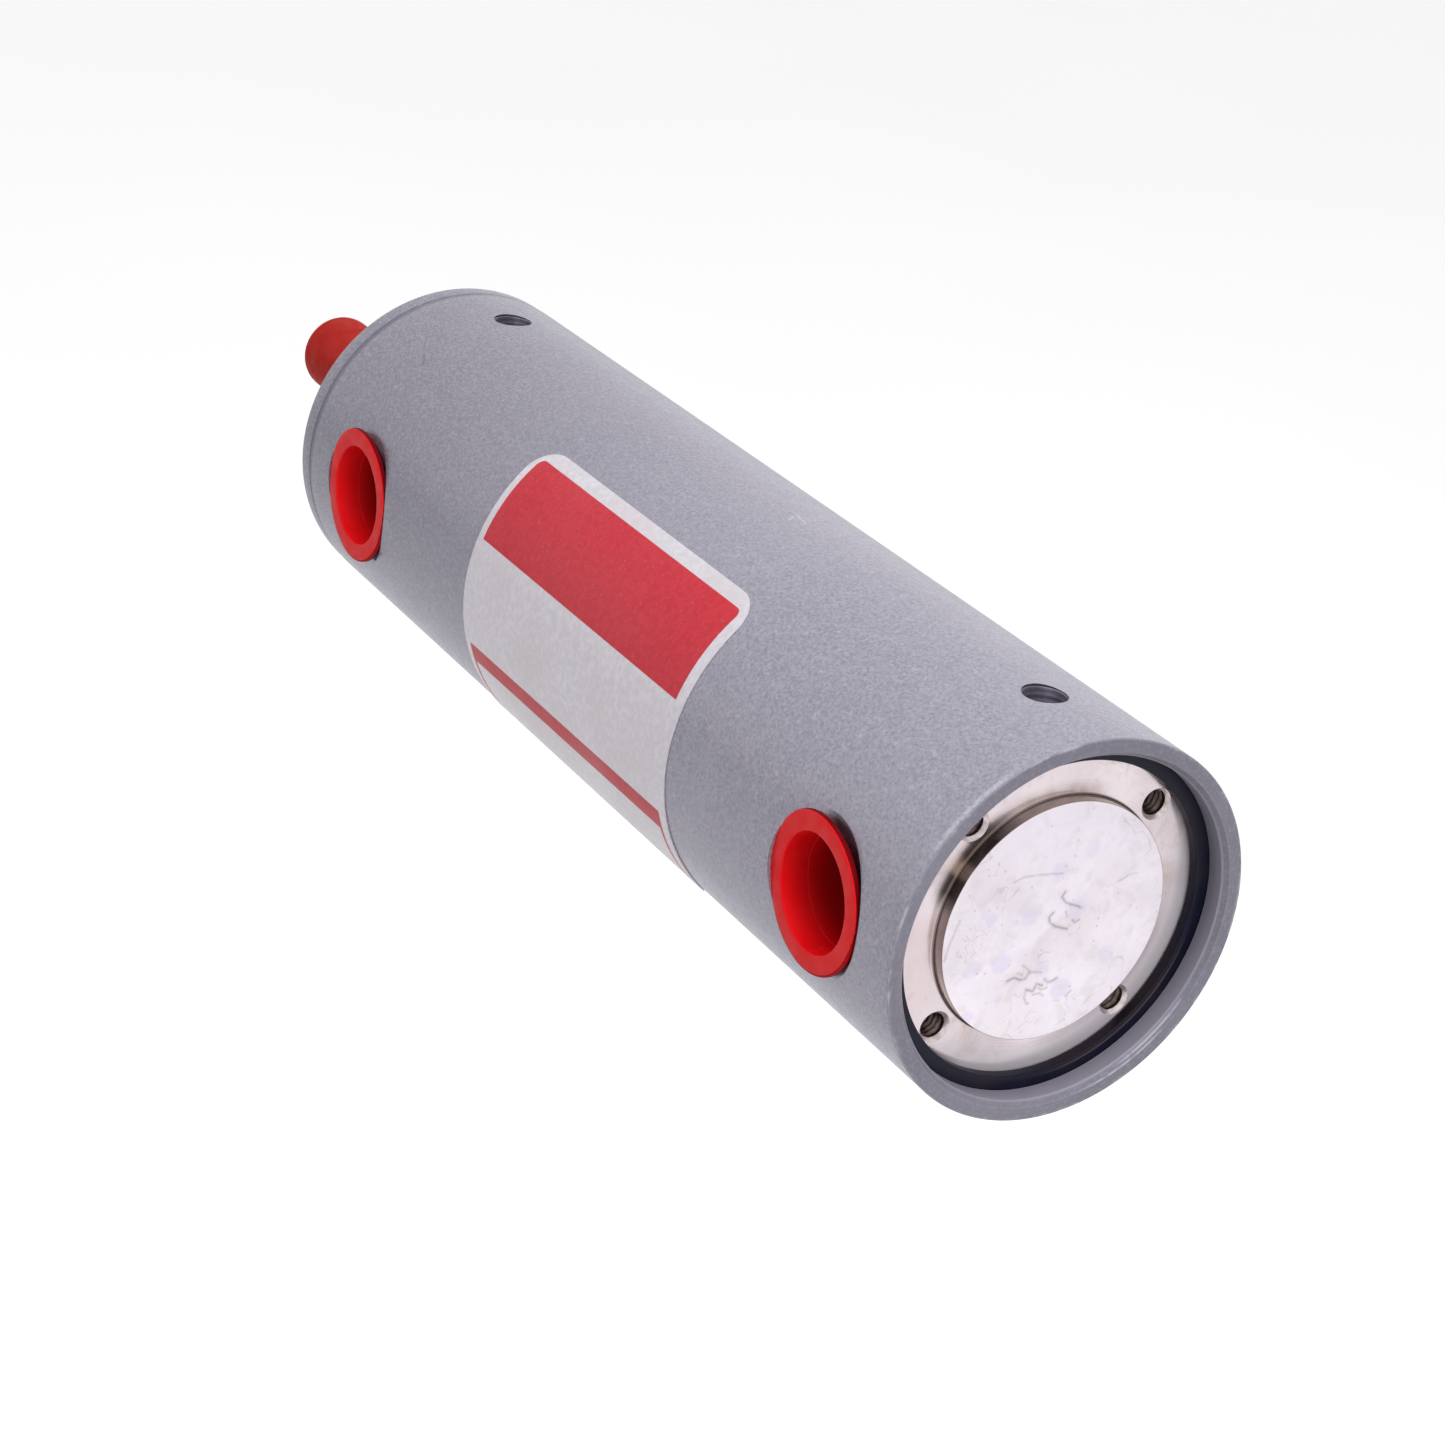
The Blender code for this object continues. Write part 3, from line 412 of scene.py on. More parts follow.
def rim_material():
    """The turned end face of the outer tube: painted darker than the tube as shade, with a rubbed bright
    chamfer, a lighter inner wall, a worn edge and a painted highlight along the outer edge.
    """
    m = Nodes("anodised_rim_painted_shade")
    radius, angle = m.polar()
    broad = m.noise(60, 3)
    grain = m.noise(2100, 3, 0.65)
    marks = m.noise(1, 2, 0.6, m.joined(m.times(radius, 3.2), 0, 0))
    # Painted shade: the end face's colour is darker than the tube's.
    m.base(m.step(broad), (112, 109, 122), (122, 119, 132))
    m.paint(m.step(grain, 0.42, 0.72), 146, 143, 155, 0.5)
    m.paint(m.step(marks, 0.45, 0.7), 100, 98, 110, 0.25)
    wear = m.noise(340, 3, 0.6)
    inner_wall = m.step(radius, 23.2, 22.95)
    m.paint(inner_wall, 150, 147, 161, 0.85)
    outer_line = m.band(radius, 23.45, 23.55, 23.66, 23.8)
    outer_line = m.times(outer_line, m.band(angle, -142, -132, -118, -100))
    inner_line = m.band(radius, 23.14, 23.22, 23.3, 23.4)
    inner_line = m.times(inner_line, m.band(angle, -152, -146, -128, -118))
    thin_line = m.band(radius, 23.5, 23.56, 23.62, 23.7)
    rubbed = m.most(m.most(outer_line, inner_line), m.times(thin_line, 0.15))
    rubbed = m.times(rubbed, m.step(wear, 0.3, 0.5, 0.3, 1))
    m.paint(rubbed, 190, 187, 200, 0.6)
    edge = m.step(radius, BODY_RADIUS - 0.55, BODY_RADIUS - 0.15)
    wear_and_highlight = m.times(edge, m.step(wear, 0.5, 0.66))
    # Painted highlight: a lighter line along the outer edge.
    m.paint(m.step(radius, BODY_RADIUS - 0.3, BODY_RADIUS - 0.1), 158, 156, 168, 0.4)
    m.paint(wear_and_highlight, 190, 188, 198, 0.5)
    nicks = m.times(edge, m.spots(560, 0.12, 0.1, 0.3))
    m.paint(nicks, 52, 50, 56, 0.65)
    roughness = m.step(grain, 0.2, 0.8, 0.4, 0.55)
    normal = m.bump(m.plus(grain, m.times(marks, 0.5)), 0.00002, 0.6)
    return m.surface(Metallic=0.3, Roughness=roughness, Normal=normal)


def bore_material():
    """The shadowed, oiled inside of the outer tube."""
    m = Nodes("dark_bore")
    grain = m.noise(900, 2)
    oil = m.noise(90, 3, place=m.stretched(1, 0.3, 0.3))
    m.base(m.step(grain), (56, 52, 64), (72, 68, 80))
    m.paint(m.step(oil, 0.4, 0.65), 34, 32, 42, 0.5)
    rough = m.step(grain, 0.2, 0.8, 0.3, 0.45)
    return m.surface(Metallic=0.3, Roughness=rough, Normal=m.bump(grain, 0.00001, 0.4))


def turned_alloy_material():
    """Bright turned alloy: fine circular tool marks and stains, with painted reflections and shade by the
    boss and painted shade on the low side's outer part.
    """
    m = Nodes("turned_alloy")
    radius, angle = m.polar()
    marks = m.noise(1, 3, 0.65, m.joined(m.times(radius, 4.5), 0, 0))
    stain = m.noise(120, 4, 0.6)
    blotch = m.noise(420, 3, 0.6)
    sweep = m.noise(34, 2)
    m.base(m.step(stain, 0.35, 0.7), (229, 218, 223), (216, 203, 207))
    m.paint(m.step(sweep, 0.42, 0.62), 208, 194, 198, 0.6)
    m.paint(m.step(marks, 0.48, 0.72), 188, 176, 180, 0.4)
    m.paint(m.step(blotch, 0.62, 0.74), 170, 156, 156, 0.35)
    warm = m.step(m.noise(170, 4, 0.65, distortion=0.4), 0.54, 0.7)
    m.paint(warm, 184, 160, 148, 0.6)
    m.paint(m.step(m.noise(60, 3, 0.6), 0.55, 0.7), 178, 176, 182, 0.5)
    # Painted shade: a darker, warmer sector of the ring face, -55 to 12 degrees round from the ports.
    m.paint(m.band(angle, -55, -30, 0, 12), 202, 182, 185, 0.45)
    # Painted shade: brown-grey on the ring next to the boss's wall, on its upper side.
    upper = m.band(angle, 60, 74, 96, 118)
    upper = m.times(upper, m.step(radius, 18.4, 16.4))
    m.paint(m.times(upper, m.step(stain, 0.35, 0.6, 0.35, 0.8)), 158, 140, 132)
    low_side = m.step(m.calc("COSINE", m.calc("MULTIPLY_ADD", angle, PI / 180, 2.4)), -0.1, 0.7)
    shade = m.times(m.step(radius, 16.6, 20.8), low_side)
    m.paint(shade, 184, 181, 188, 0.75)

    # Painted reflections by the boss, by angle: a tan tone on its wall, a dark patch over the wall and the
    # ring, and a tan streak on the ring
    wall = m.step(radius, BOSS_RADIUS + 0.2, BOSS_RADIUS + 0.02)
    painted_wall_reflection = m.mix(m.step(stain), rgb(214, 198, 190), rgb(192, 176, 168))
    m.colour = m.mix(wall, m.colour, painted_wall_reflection)
    wavy = m.calc("MULTIPLY_ADD", m.noise(300, 2), 8, m.minus(angle, 4))
    dark = m.band(wavy, 9, 18, 46, 66)
    reach = m.step(radius, 18.6, 16.4)
    painted_dark_reflection = m.times(dark, m.most(wall, reach))
    m.paint(painted_dark_reflection, 84, 72, 70, 0.88)
    painted_tan_reflection = m.band(wavy, 26, 29, 31.5, 35)
    painted_tan_reflection = m.times(painted_tan_reflection, m.step(radius, 19.2, 16.5))
    m.paint(painted_tan_reflection, 204, 182, 170, 0.75)
    # Painted shade: a dark line in the crease at the foot of the boss's wall.
    m.paint(m.band(radius, 15.98, 16.08, 16.18, 16.34), 104, 84, 74, 0.8)
    roughness = m.plus(m.step(stain, 0.3, 0.7, 0.15, 0.22), m.step(marks, 0.4, 0.7, 0, 0.05))
    metallic = m.step(shade, 0, 0.6, 0.85, 0.25)
    normal = m.bump(marks, 0.000006, 0.5)
    return m.surface(Metallic=metallic, Roughness=roughness, Normal=normal)


def boss_material():
    """Pale mottled boss face with faint round spots, smears and hair-fine scratches."""
    m = Nodes("boss_face")
    x, y, z = m.axes()
    flat = m.vector("SCALE", m.joined(y, z, 0), MM)
    mottle = m.noise(130, 5, 0.6)
    fine = m.noise(900, 3, 0.6)
    smear = m.noise(1, 4, 0.6, m.stretched(1, 60, 260), 0.6)
    m.base(m.step(mottle), (236, 228, 236), (224, 216, 225))
    m.paint(m.step(fine, 0.4, 0.7), 222, 213, 222, 0.4)
    m.paint(m.step(smear, 0.58, 0.78), 196, 184, 186, 0.3)
    m.paint(m.step(m.noise(75, 2), 0.5, 0.7), 232, 214, 210, 0.15)
    # Painted light and shade: the boss face lighter towards the bottom and darker towards the top.
    m.paint(m.step(z, -3, -12), 247, 239, 248, 0.4)
    m.paint(m.step(z, 3, 12), 222, 215, 226, 0.45)
    drift = m.wobbled(flat, 500, 0.0004)
    patches = m.step(m.noise(330, 3, 0.55, distortion=0.5), 0.52, 0.66)
    m.paint(patches, 210, 204, 208, 0.4)
    lilac = m.times(m.spots(200, 0.3, 0.6, 1.5, drift, flat=True), 0.7)
    for place_y, place_z, radius in BOSS_SPOTS:
        distance = m.vector("DISTANCE", drift, (place_y * MM, place_z * MM, 0), "Value")
        lilac = m.most(lilac, m.step(distance, radius * MM, radius * 0.6 * MM))
    m.paint(lilac, 209, 204, 228, 0.48)
    pink = m.spots(260, 0.2, 0.3, 0.9, m.vector("ADD", drift, (0.3, 0.7, 0)), flat=True)
    m.paint(pink, 222, 200, 208, 0.3)
    m.paint(m.spots(900, 0.07, 0.1, 0.22, flat, flat=True), 180, 168, 174, 0.5)
    vein = m.gap(m.noise(260, 2, 0.5, distortion=0.6), 0.5)
    veins = m.times(m.step(vein, 0.014, 0.004), m.step(m.noise(150, 1), 0.48, 0.6))
    m.paint(veins, 186, 174, 182, 0.42)
    shaky = m.wobbled(flat, 900, 0.00012)
    scratch = m.strokes(shaky, BOSS_SCRATCHES)
    faint = m.step(m.noise(600, 2), 0.35, 0.5, 0.6, 1)
    m.paint(m.times(m.step(scratch, 0.6, 0.1, 0, 0.4), faint), 194, 186, 192)
    m.paint(m.times(m.step(scratch, 0.24, 0.04, 0, 0.55), faint), 142, 132, 139)
    hair = m.strokes(shaky, BOSS_HAIRLINES)
    m.paint(m.times(m.step(hair, 0.3, 0.04, 0, 0.45), faint), 170, 162, 168)
    roughness = m.step(mottle, 0.3, 0.7, 0.4, 0.58)
    normal = m.bump(fine, 0.00001, 0.5)
    return m.surface(Metallic=0.3, Roughness=roughness, Normal=normal)


def black_steel_material():
    """Blackened spring steel with an oily sheen, brownish inside on its low side, with a painted highlight
    line there.
    """
    m = Nodes("black_spring_steel")
    grain = m.noise(800, 3)
    oil = m.noise(110, 3)
    radius, angle = m.polar()
    low = m.band(angle, -176, -150, -118, -90)
    inner = m.times(m.step(radius, 21.7, 21.5), low)
    # Painted highlight: a lighter line near the inner edge on the ring's low side.
    line = m.times(m.band(radius, 21.5, 21.6, 21.72, 21.85), low)
    m.base(m.step(grain), (4, 5, 24), (10, 11, 36))
    m.paint(m.step(oil, 0.45, 0.7), 34, 26, 30, 0.5)
    m.paint(inner, 34, 26, 28, 0.6)
    m.paint(line, 92, 80, 84, 0.6)
    rough = m.step(oil, 0.3, 0.7, 0.3, 0.5)
    normal = m.bump(grain, 0.00001, 0.4)
    return m.surface(Metallic=0.2, Roughness=rough, Normal=normal, Specular_IOR_Level=0.25)


# Scales of grain and stain, light, dark and dirty tone, dirt's start, metallic, roughness
CUT_THREAD = ((1600, 300), (92, 78, 75), (128, 112, 108), (56, 45, 44), 0.45, 0.9, (0.25, 0.4))
HOLE_MOUTH = ((1400, 500), (222, 210, 212), (196, 182, 184), (150, 132, 126), 0.5, 0.7, (0.22, 0.34))


def cut_metal(name, scales, light, dark, dirt_and_shadow, dirt_start, metallic, gloss):
    """Freshly cut metal of a tapped hole, stained in places."""
    m = Nodes(name)
    grain, stain = [m.noise(scale, 2) for scale in scales]
    m.base(m.step(grain), light, dark)
    m.paint(m.step(stain, dirt_start, 0.65), *dirt_and_shadow, 0.5)
    return m.surface(Metallic=metallic, Roughness=m.step(grain, 0.2, 0.8, *gloss))


def dark_thread_material():
    """Thread of the side holes: dark, stained metal with a dull gloss."""
    m = Nodes("dark_thread")
    grain = m.noise(1600, 2)
    stain = m.noise(260, 3)
    m.base(m.step(grain), (122, 117, 136), (140, 135, 153))
    m.paint(m.step(stain, 0.4, 0.65), 86, 82, 98, 0.4)
    x, y, z = m.axes()
    for hole_x in (REAR_SIDE_X, FRONT_SIDE_X):
        across = m.minus(x, hole_x)
        shade = m.times(m.step(across, 2, 2.8), m.calc("LESS_THAN", across, 4))
        m.paint(shade, 60, 57, 70, 0.7)
    return m.surface(Metallic=0.2, Roughness=m.step(grain, 0.2, 0.8, 0.45, 0.6))


def red_plastic_material(name, pale, deep, bloom, roughness, gloss=0.2):
    """Moulded red plastic with slight clouding, a chalky bloom and rub marks. The plug's cup gets painted
    shade with depth; the edge version is darker as painted shade, with painted shadow under the flange's
    top edge.
    """
    m = Nodes(name)
    x, y, z = m.axes()
    depth = m.step(y, PLUG_HIGH.y - 0.7, PLUG_HIGH.y - 7)
    under = m.step(y, PLUG_HIGH.y - 0.4, PLUG_HIGH.y - 0.65)
    cloud = m.noise(180, 3)
    rub = m.noise(1, 4, 0.6, m.stretched(400, 1500, 400))
    speckle = m.noise(1500, 2)
    m.base(m.step(cloud), deep, pale)
    m.paint(m.step(rub, 0.58, 0.8), 224, 106, 104, bloom)
    m.paint(m.step(speckle, 0.6, 0.75), 220, 70, 68, bloom * 0.6)
    # Painted shade: the plug's cup darker with depth.
    if name == "red_plastic":
        m.paint(depth, 150, 0, 8, 0.9)
    # Painted shade and shadow: the flange's side darker red towards +Z and near black under the flange's
    # top edge.
    if name == "red_plastic_edge_painted_shade":
        m.paint(m.step(z, -5, 2), 88, 0, 8, 0.9)
        m.paint(under, 30, 0, 8, 0.9)
    roughness = m.step(m.noise(500, 3), 0.25, 0.75, roughness * 0.85, roughness * 1.15)
    normal = m.bump(m.noise(320, 3), 0.00003, 0.35)
    normal = m.bump(speckle, 0.00001, 0.3, normal)
    m.shade(Subsurface_Weight=0.06, Subsurface_Radius=(0.003, 0.0006, 0.0004), Subsurface_Scale=1)
    return m.surface(Roughness=roughness, Normal=normal, Specular_IOR_Level=gloss)


# Label layout in millimetres, arcs measured round the tube from the ports
LABEL_MIDDLE = (LABEL_LOW.x + LABEL_HIGH.x) / 2
LABEL_SURFACE = 25.6
LABEL_SOLID_RADIUS = 25.62
LABEL_FLAT_RADIUS = 25.5
LABEL_CORNER = 5.0
FIELD_SHIFT = 0.25
FIELD_BLUR = 0.07
TOP_FIELD = {"middle": 15.24, "half_arc": 7.15, "half_length": 28.3, "upper": 1.3, "lower": 0.2}
FRAME_FIELD = {"middle": -15.15, "half_arc": 7.25, "half_length": 28.3, "upper": 0.2, "lower": 1.3}
FRAME_INSIDE = {"middle": -16.3, "half_arc": 5.4, "half_length": 27.6, "upper": 0.2, "lower": 0.7}


def field_distance(m, along, around, field):
    """Signed distance in millimetres to a rectangle on the label with its own corner radii."""
    rise = m.minus(around, field["middle"])
    above = m.calc("GREATER_THAN", rise, 0)
    corner = m.calc("MULTIPLY_ADD", above, field["upper"] - field["lower"], field["lower"])
    dx = m.plus(m.minus(m.gap(along, FIELD_SHIFT), field["half_length"]), corner)
    dy = m.plus(m.minus(m.calc("ABSOLUTE", rise), field["half_arc"]), corner)
    outside_x = m.most(dx, 0)
    outside_y = m.most(dy, 0)
    inside = m.calc("MINIMUM", m.most(dx, dy), 0)
    return m.minus(m.plus(m.length(outside_x, outside_y), inside), corner)


def label_material():
    """Silvery film with a red field above and a red frame below, both bare."""
    m = Nodes("label_film")
    x, y, z = m.axes()
    along = m.minus(x, LABEL_MIDDLE)
    around = m.times(m.calc("ARCTAN2", z, y), LABEL_SURFACE)
    fields = (TOP_FIELD, FRAME_FIELD, FRAME_INSIDE)
    distances = [field_distance(m, along, around, field) for field in fields]
    top, outer, hollow = [m.step(distance, FIELD_BLUR, -FIELD_BLUR) for distance in distances]
    red_mask = m.most(top, m.times(outer, m.minus(1, hollow)))
    grain = m.noise(1100, 3, 0.6)
    cloud = m.noise(60, 3)
    silver = m.mix(m.step(grain, 0.35, 0.7), rgb(222, 217, 224), rgb(236, 231, 239))
    silver = m.mix(m.step(cloud, 0.4, 0.7, 0, 0.5), silver, rgb(224, 214, 219))
    red = m.mix(m.step(grain), rgb(204, 28, 48), rgb(216, 40, 60))
    red = m.mix(m.step(m.noise(2600, 1), 0.64, 0.74, 0, 0.35), red, rgb(216, 110, 122))
    m.colour = m.mix(red_mask, silver, red)
    metallic = m.times(m.minus(1, red_mask), 0.3)
    roughness = m.plus(m.step(cloud, 0.3, 0.7, 0.34, 0.44), m.times(red_mask, 0.06))
    normal = m.bump(grain, 0.000008, 0.4)
    normal = m.bump(red_mask, 0.00001, 0.4, normal)
    return m.surface(Metallic=metallic, Roughness=roughness, Normal=normal)


def plain_metal(name, light, dark, roughness, scale=700):
    m = Nodes(name)
    grain = m.noise(1, 3, 0.6, m.stretched(scale * 0.2, scale, scale))
    m.base(m.step(grain), light, dark)
    rough = m.step(grain, 0.2, 0.8, roughness * 0.8, roughness * 1.3)
    return m.surface(Metallic=1, Roughness=rough, Normal=m.bump(grain, 0.000006))


def plain_polymer(name, light, dark, roughness):
    m = Nodes(name)
    grain = m.noise(900, 3)
    cloud = m.noise(120, 2)
    m.base(m.step(cloud), light, dark)
    rough = m.step(grain, 0.2, 0.8, roughness * 0.85, roughness * 1.15)
    return m.surface(Roughness=rough, Normal=m.bump(grain, 0.00001, 0.4))


# Mesh helpers


def filleted(points, steps=5):
    """Profile with its corners rounded. Each point is (x, r) or (x, r, fillet)."""
    result = []
    count = len(points)
    for i, point in enumerate(points):
        here = Vector(point[:2])
        fillet = point[2] if len(point) > 2 else 0
        before = Vector(points[i - 1][:2])
        after = Vector(points[(i + 1) % count][:2])
        to_before = before - here
        to_after = after - here
        if fillet <= 0 or to_before.length < 1e-6 or to_after.length < 1e-6:
            result.append(here)
            continue
        to_before.normalize()
        to_after.normalize()
        half = to_before.angle(to_after) / 2
        reach = fillet / math.tan(half)
        start = here + to_before * reach
        end = here + to_after * reach
        centre = here + (to_before + to_after).normalized() * fillet / math.sin(half)
        first = start - centre
        turn = first.angle_signed(end - centre)
        for k in range(steps + 1):
            spin = Matrix.Rotation(-turn * k / steps, 2)
            result.append(centre + spin @ first)
    return result


def stretched_profile(profile, longest, closed):
    """Profile with its long straight runs split, so that faces near cuts stay small."""
    result = []
    last = len(profile) if closed else len(profile) - 1
    for i in range(last):
        here = profile[i]
        after = profile[(i + 1) % len(profile)]
        parts = max(1, math.ceil((after - here).length / longest))
        result += [here.lerp(after, k / parts) for k in range(parts)]
    if not closed:
        result.append(profile[-1])
    return result


def turned(name, rings, closed):
    """Mesh round the X axis from rings of (x, r) in millimetres. A ring on the axis is one point."""
    shape = bmesh.new()
    segments = len(rings[0])
    loops = []
    for ring in rings:
        loop = []
        for k, (x, r) in enumerate(ring if ring[0][1] > 1e-6 else ring[:1]):
            angle = 2 * PI * k / segments
            loop.append(shape.verts.new((x * MM, r * MM * math.cos(angle), r * MM * math.sin(angle))))
        loops.append(loop)
    pairs = list(zip(loops, loops[1:]))
    if closed:
        pairs.append((loops[-1], loops[0]))
    for first, second in pairs:
        for k in range(segments):
            after = (k + 1) % segments
            corners = [first[k % len(first)], first[after % len(first)]]
            corners += [second[after % len(second)], second[k % len(second)]]
            face = list(dict.fromkeys(corners))
            if len(face) > 2:
                shape.faces.new(face)
    bmesh.ops.recalc_face_normals(shape, faces=shape.faces)
    return finish_mesh(name, shape)


def lathe(name, points, segments=FINE, longest=1000, closed=None, fillet_steps=5):
    """Mesh turned from a profile of (x, r, fillet) points in millimetres."""
    if closed is None:
        closed = points[0][1] > 1e-6
    profile = stretched_profile(filleted(points, fillet_steps), longest, closed)
    return turned(name, [[tuple(point)] * segments for point in profile], closed)


def finish_mesh(name, shape):
    mesh = bpy.data.meshes.new(name)
    shape.to_mesh(mesh)
    shape.free()
    mesh.shade_smooth()
    mesh.set_sharp_from_angle(angle=SHARP_ANGLE)
    item = bpy.data.objects.new(name, mesh)
    bpy.context.scene.collection.objects.link(item)
    return item


def turn_to(item, direction, place):
    """Move a mesh made about +X so that +X points along direction from place, in the mesh itself."""
    turn = Vector((1, 0, 0)).rotation_difference(Vector(direction)).to_matrix().to_4x4()
    item.data.transform(Matrix.Translation(Vector(place) * MM) @ turn)
    return item


def cut(item, cutters):
    """Take the cutters' volumes out of a mesh for good."""
    for cutter in cutters:
        boolean = item.modifiers.new("cut", "BOOLEAN")
        boolean.operation = "DIFFERENCE"
        boolean.solver = "EXACT"
        boolean.object = cutter
    bpy.context.view_layer.update()
    graph = bpy.context.evaluated_depsgraph_get()
    mesh = bpy.data.meshes.new_from_object(item.evaluated_get(graph))
    item.modifiers.clear()
    old = item.data
    item.data = mesh
    bpy.data.meshes.remove(old)
    mesh.set_sharp_from_angle(angle=SHARP_ANGLE)


def drop(items):
    for item in items:
        bpy.data.objects.remove(item, do_unlink=True)


def dress(item, body, materials, nodes=(), chooser=None):
    """Give a mesh its materials, its body and the solids that it stands for."""
    item.data.materials.clear()
    for material in materials:
        item.data.materials.append(material)
    if chooser:
        for face in item.data.polygons:
            face.material_index = chooser(face.center / MM, face.normal)
    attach(item, body)
    if nodes:
        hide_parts(*nodes)
    return item


def side_drill(x):
    return drill((x, 0, BODY_RADIUS), (0, 0, 1), SIDE_HOLE_RADIUS, SIDE_HOLE_DEPTH)


def port_cutter(port_x, bore_only=False):
    top = BODY_RADIUS + 3
    widest = PORT_RADIUS if bore_only else SPOTFACE_RADIUS
    profile = [(top, 0), (top, widest), (SPOTFACE_HEIGHT, widest)]
    if not bore_only:
        profile.append((SPOTFACE_HEIGHT, PORT_RADIUS))
    profile += [(PORT_FLOOR_HEIGHT, PORT_FLOOR_RADIUS), (PORT_FLOOR_HEIGHT - 0.4, 0)]
    cutter = turn_to(lathe("port_cutter", profile, MEDIUM, closed=False), (0, 1, 0), (port_x, 0, 0))
    cutter.data.transform(Matrix.Rotation(math.radians(PORT_TURN), 4, "X"))
    return cutter


def drill(place, direction, radius, depth, segments=48, lead=3):
    profile = [(lead, 0), (lead, radius), (-depth, radius), (-depth - radius * 0.5, 0)]
    return turn_to(lathe("drill", profile, segments, closed=False), direction, place)


def threaded_sleeve(name, place, direction, outer, crest, root, pitch, depth, sink):
    """Tapped hole's wall: a helical thread under a short countersink, closed behind."""
    rows = int((depth - sink) / pitch * THREAD_ROWS)
    mouth = [(0, outer), (-0.02, outer - 0.05), (-sink, crest + 0.02)]
    rings = [[point] * THREAD_STEPS for point in mouth]
    for row in range(rows + 1):
        height = -sink - 0.02 - row * pitch / THREAD_ROWS
        fade = min(1, row / THREAD_ROWS)
        ring = []
        for k in range(THREAD_STEPS):
            wave = abs(2 * ((height / pitch + k / THREAD_STEPS) % 1) - 1)
            wave = min(max((wave - 0.12) / 0.76, 0), 1)
            ring.append((height, crest + (root - crest) * wave * fade))
        rings.append(ring)
    rings.append([(height, outer)] * THREAD_STEPS)
    return turn_to(turned(name, rings, True), direction, place)


# Pieces


def make_outer_tube(anodised, rim, bore):
    """Outer tube with its chamfered recess, ring groove, ports, spotfaces and side holes."""
    x0, x1 = REAR_END, FRONT_END
    groove_start = RING_LOW.x - 0.08
    groove_end = RING_HIGH.x + 0.08
    profile = [
        (x0, BODY_RADIUS, BODY_EDGE),
        (x1, BODY_RADIUS, 0.3),
        (x1, BODY_BORE, 0.3),
        (groove_end, BODY_BORE),
        (groove_end, GROOVE_RADIUS),
        (groove_start, GROOVE_RADIUS),
        (groove_start, BODY_BORE),
        (x0 + RIM_CHAMFER, BODY_BORE, 0.25),
        (x0, RIM_INNER, 0.12),
    ]
    tube = lathe("outer_tube", profile, longest=2.5)
    side_places = [REAR_SIDE_X, FRONT_SIDE_X]
    cutters = [port_cutter(REAR_PORT_X), port_cutter(FRONT_PORT_X)]
    cutters += [side_drill(x) for x in side_places]
    cut(tube, cutters)
    drop(cutters)

    def chooser(centre, normal):
        radius = math.hypot(centre.y, centre.z)
        if any(math.hypot(centre.x - x, centre.y) < SIDE_HOLE_RADIUS + 0.02 for x in side_places):
            return 2 if centre.z > 0 and abs(normal.z) < 0.5 else 0
        inward = -(normal.y * centre.y + normal.z * centre.z) / radius
        if centre.x > x0 + 3.3:
            return 2 if inward > 0.5 or (radius < GROOVE_RADIUS and abs(normal.x) > 0.5) else 0
        return 1 if normal.x < -0.3 or radius < RIM_INNER + 0.1 else 0

    return dress(tube, "barrel", [anodised, rim, bore], ["outer_body"], chooser)


def face_hole_places(face_x):
    radius = FACE_HOLE_CIRCLE
    angles = [PI / 4 + PI / 2 * i for i in range(4)]
    return [(face_x, radius * math.cos(angle), radius * math.sin(angle)) for angle in angles]


def spigot_profile(shoulder, end, inward):
    """Profile of a head from its shoulder to its inner end, past the O-ring's groove and the bumper."""
    groove_start, groove_end, groove_depth = SEAL_GROOVE
    recess_outer, recess_inner, recess_depth = BUMPER_RECESS
    return [
        (shoulder, HEAD_RADIUS, 0.2),
        (shoulder, SPIGOT_RADIUS),
        (end + inward * groove_start, SPIGOT_RADIUS),
        (end + inward * groove_start, SPIGOT_RADIUS - groove_depth),
        (end + inward * groove_end, SPIGOT_RADIUS - groove_depth),
        (end + inward * groove_end, SPIGOT_RADIUS),
        (end, SPIGOT_RADIUS, 0.4),
        (end, recess_outer),
        (end + inward * recess_depth, recess_outer),
        (end + inward * recess_depth, recess_inner),
        (end, recess_inner),
    ]


def cut_head(head, face, direction, port_x, side_x):
    """Cut a head's face holes, port and side hole."""
    places = face_hole_places(face)
    cutters = [drill(place, direction, FACE_HOLE_RADIUS, FACE_HOLE_DEPTH) for place in places]
    cutters += [port_cutter(port_x, bore_only=True), side_drill(side_x)]
    cut(head, cutters)
    drop(cutters)


def make_rear_head(alloy, boss):
    """Rear head: polished ring face, raised boss, spigot, port and holes."""
    face = REAR_HEAD_LOW.x + BOSS_HEIGHT
    inner = REAR_HEAD_HIGH.x
    profile = [
        (REAR_HEAD_LOW.x, 0),
        (REAR_HEAD_LOW.x, BOSS_RADIUS, 0.12),
        (face, BOSS_RADIUS, 0.45),
        (face, HEAD_RADIUS, 0.5),
        *spigot_profile(TUBE_LOW.x - TUBE_GAP, inner, -1),
        (inner, 0),
    ]
    head = lathe("rear_head_turned", profile, longest=3)
    cut_head(head, face, (-1, 0, 0), REAR_PORT_X, REAR_SIDE_X)

    def chooser(centre, normal):
        radius = math.hypot(centre.y, centre.z)
        return 1 if radius < BOSS_RADIUS - 0.1 and centre.x < face - 1 else 0

    return dress(head, "barrel", [alloy, boss], ["rear_head"], chooser)


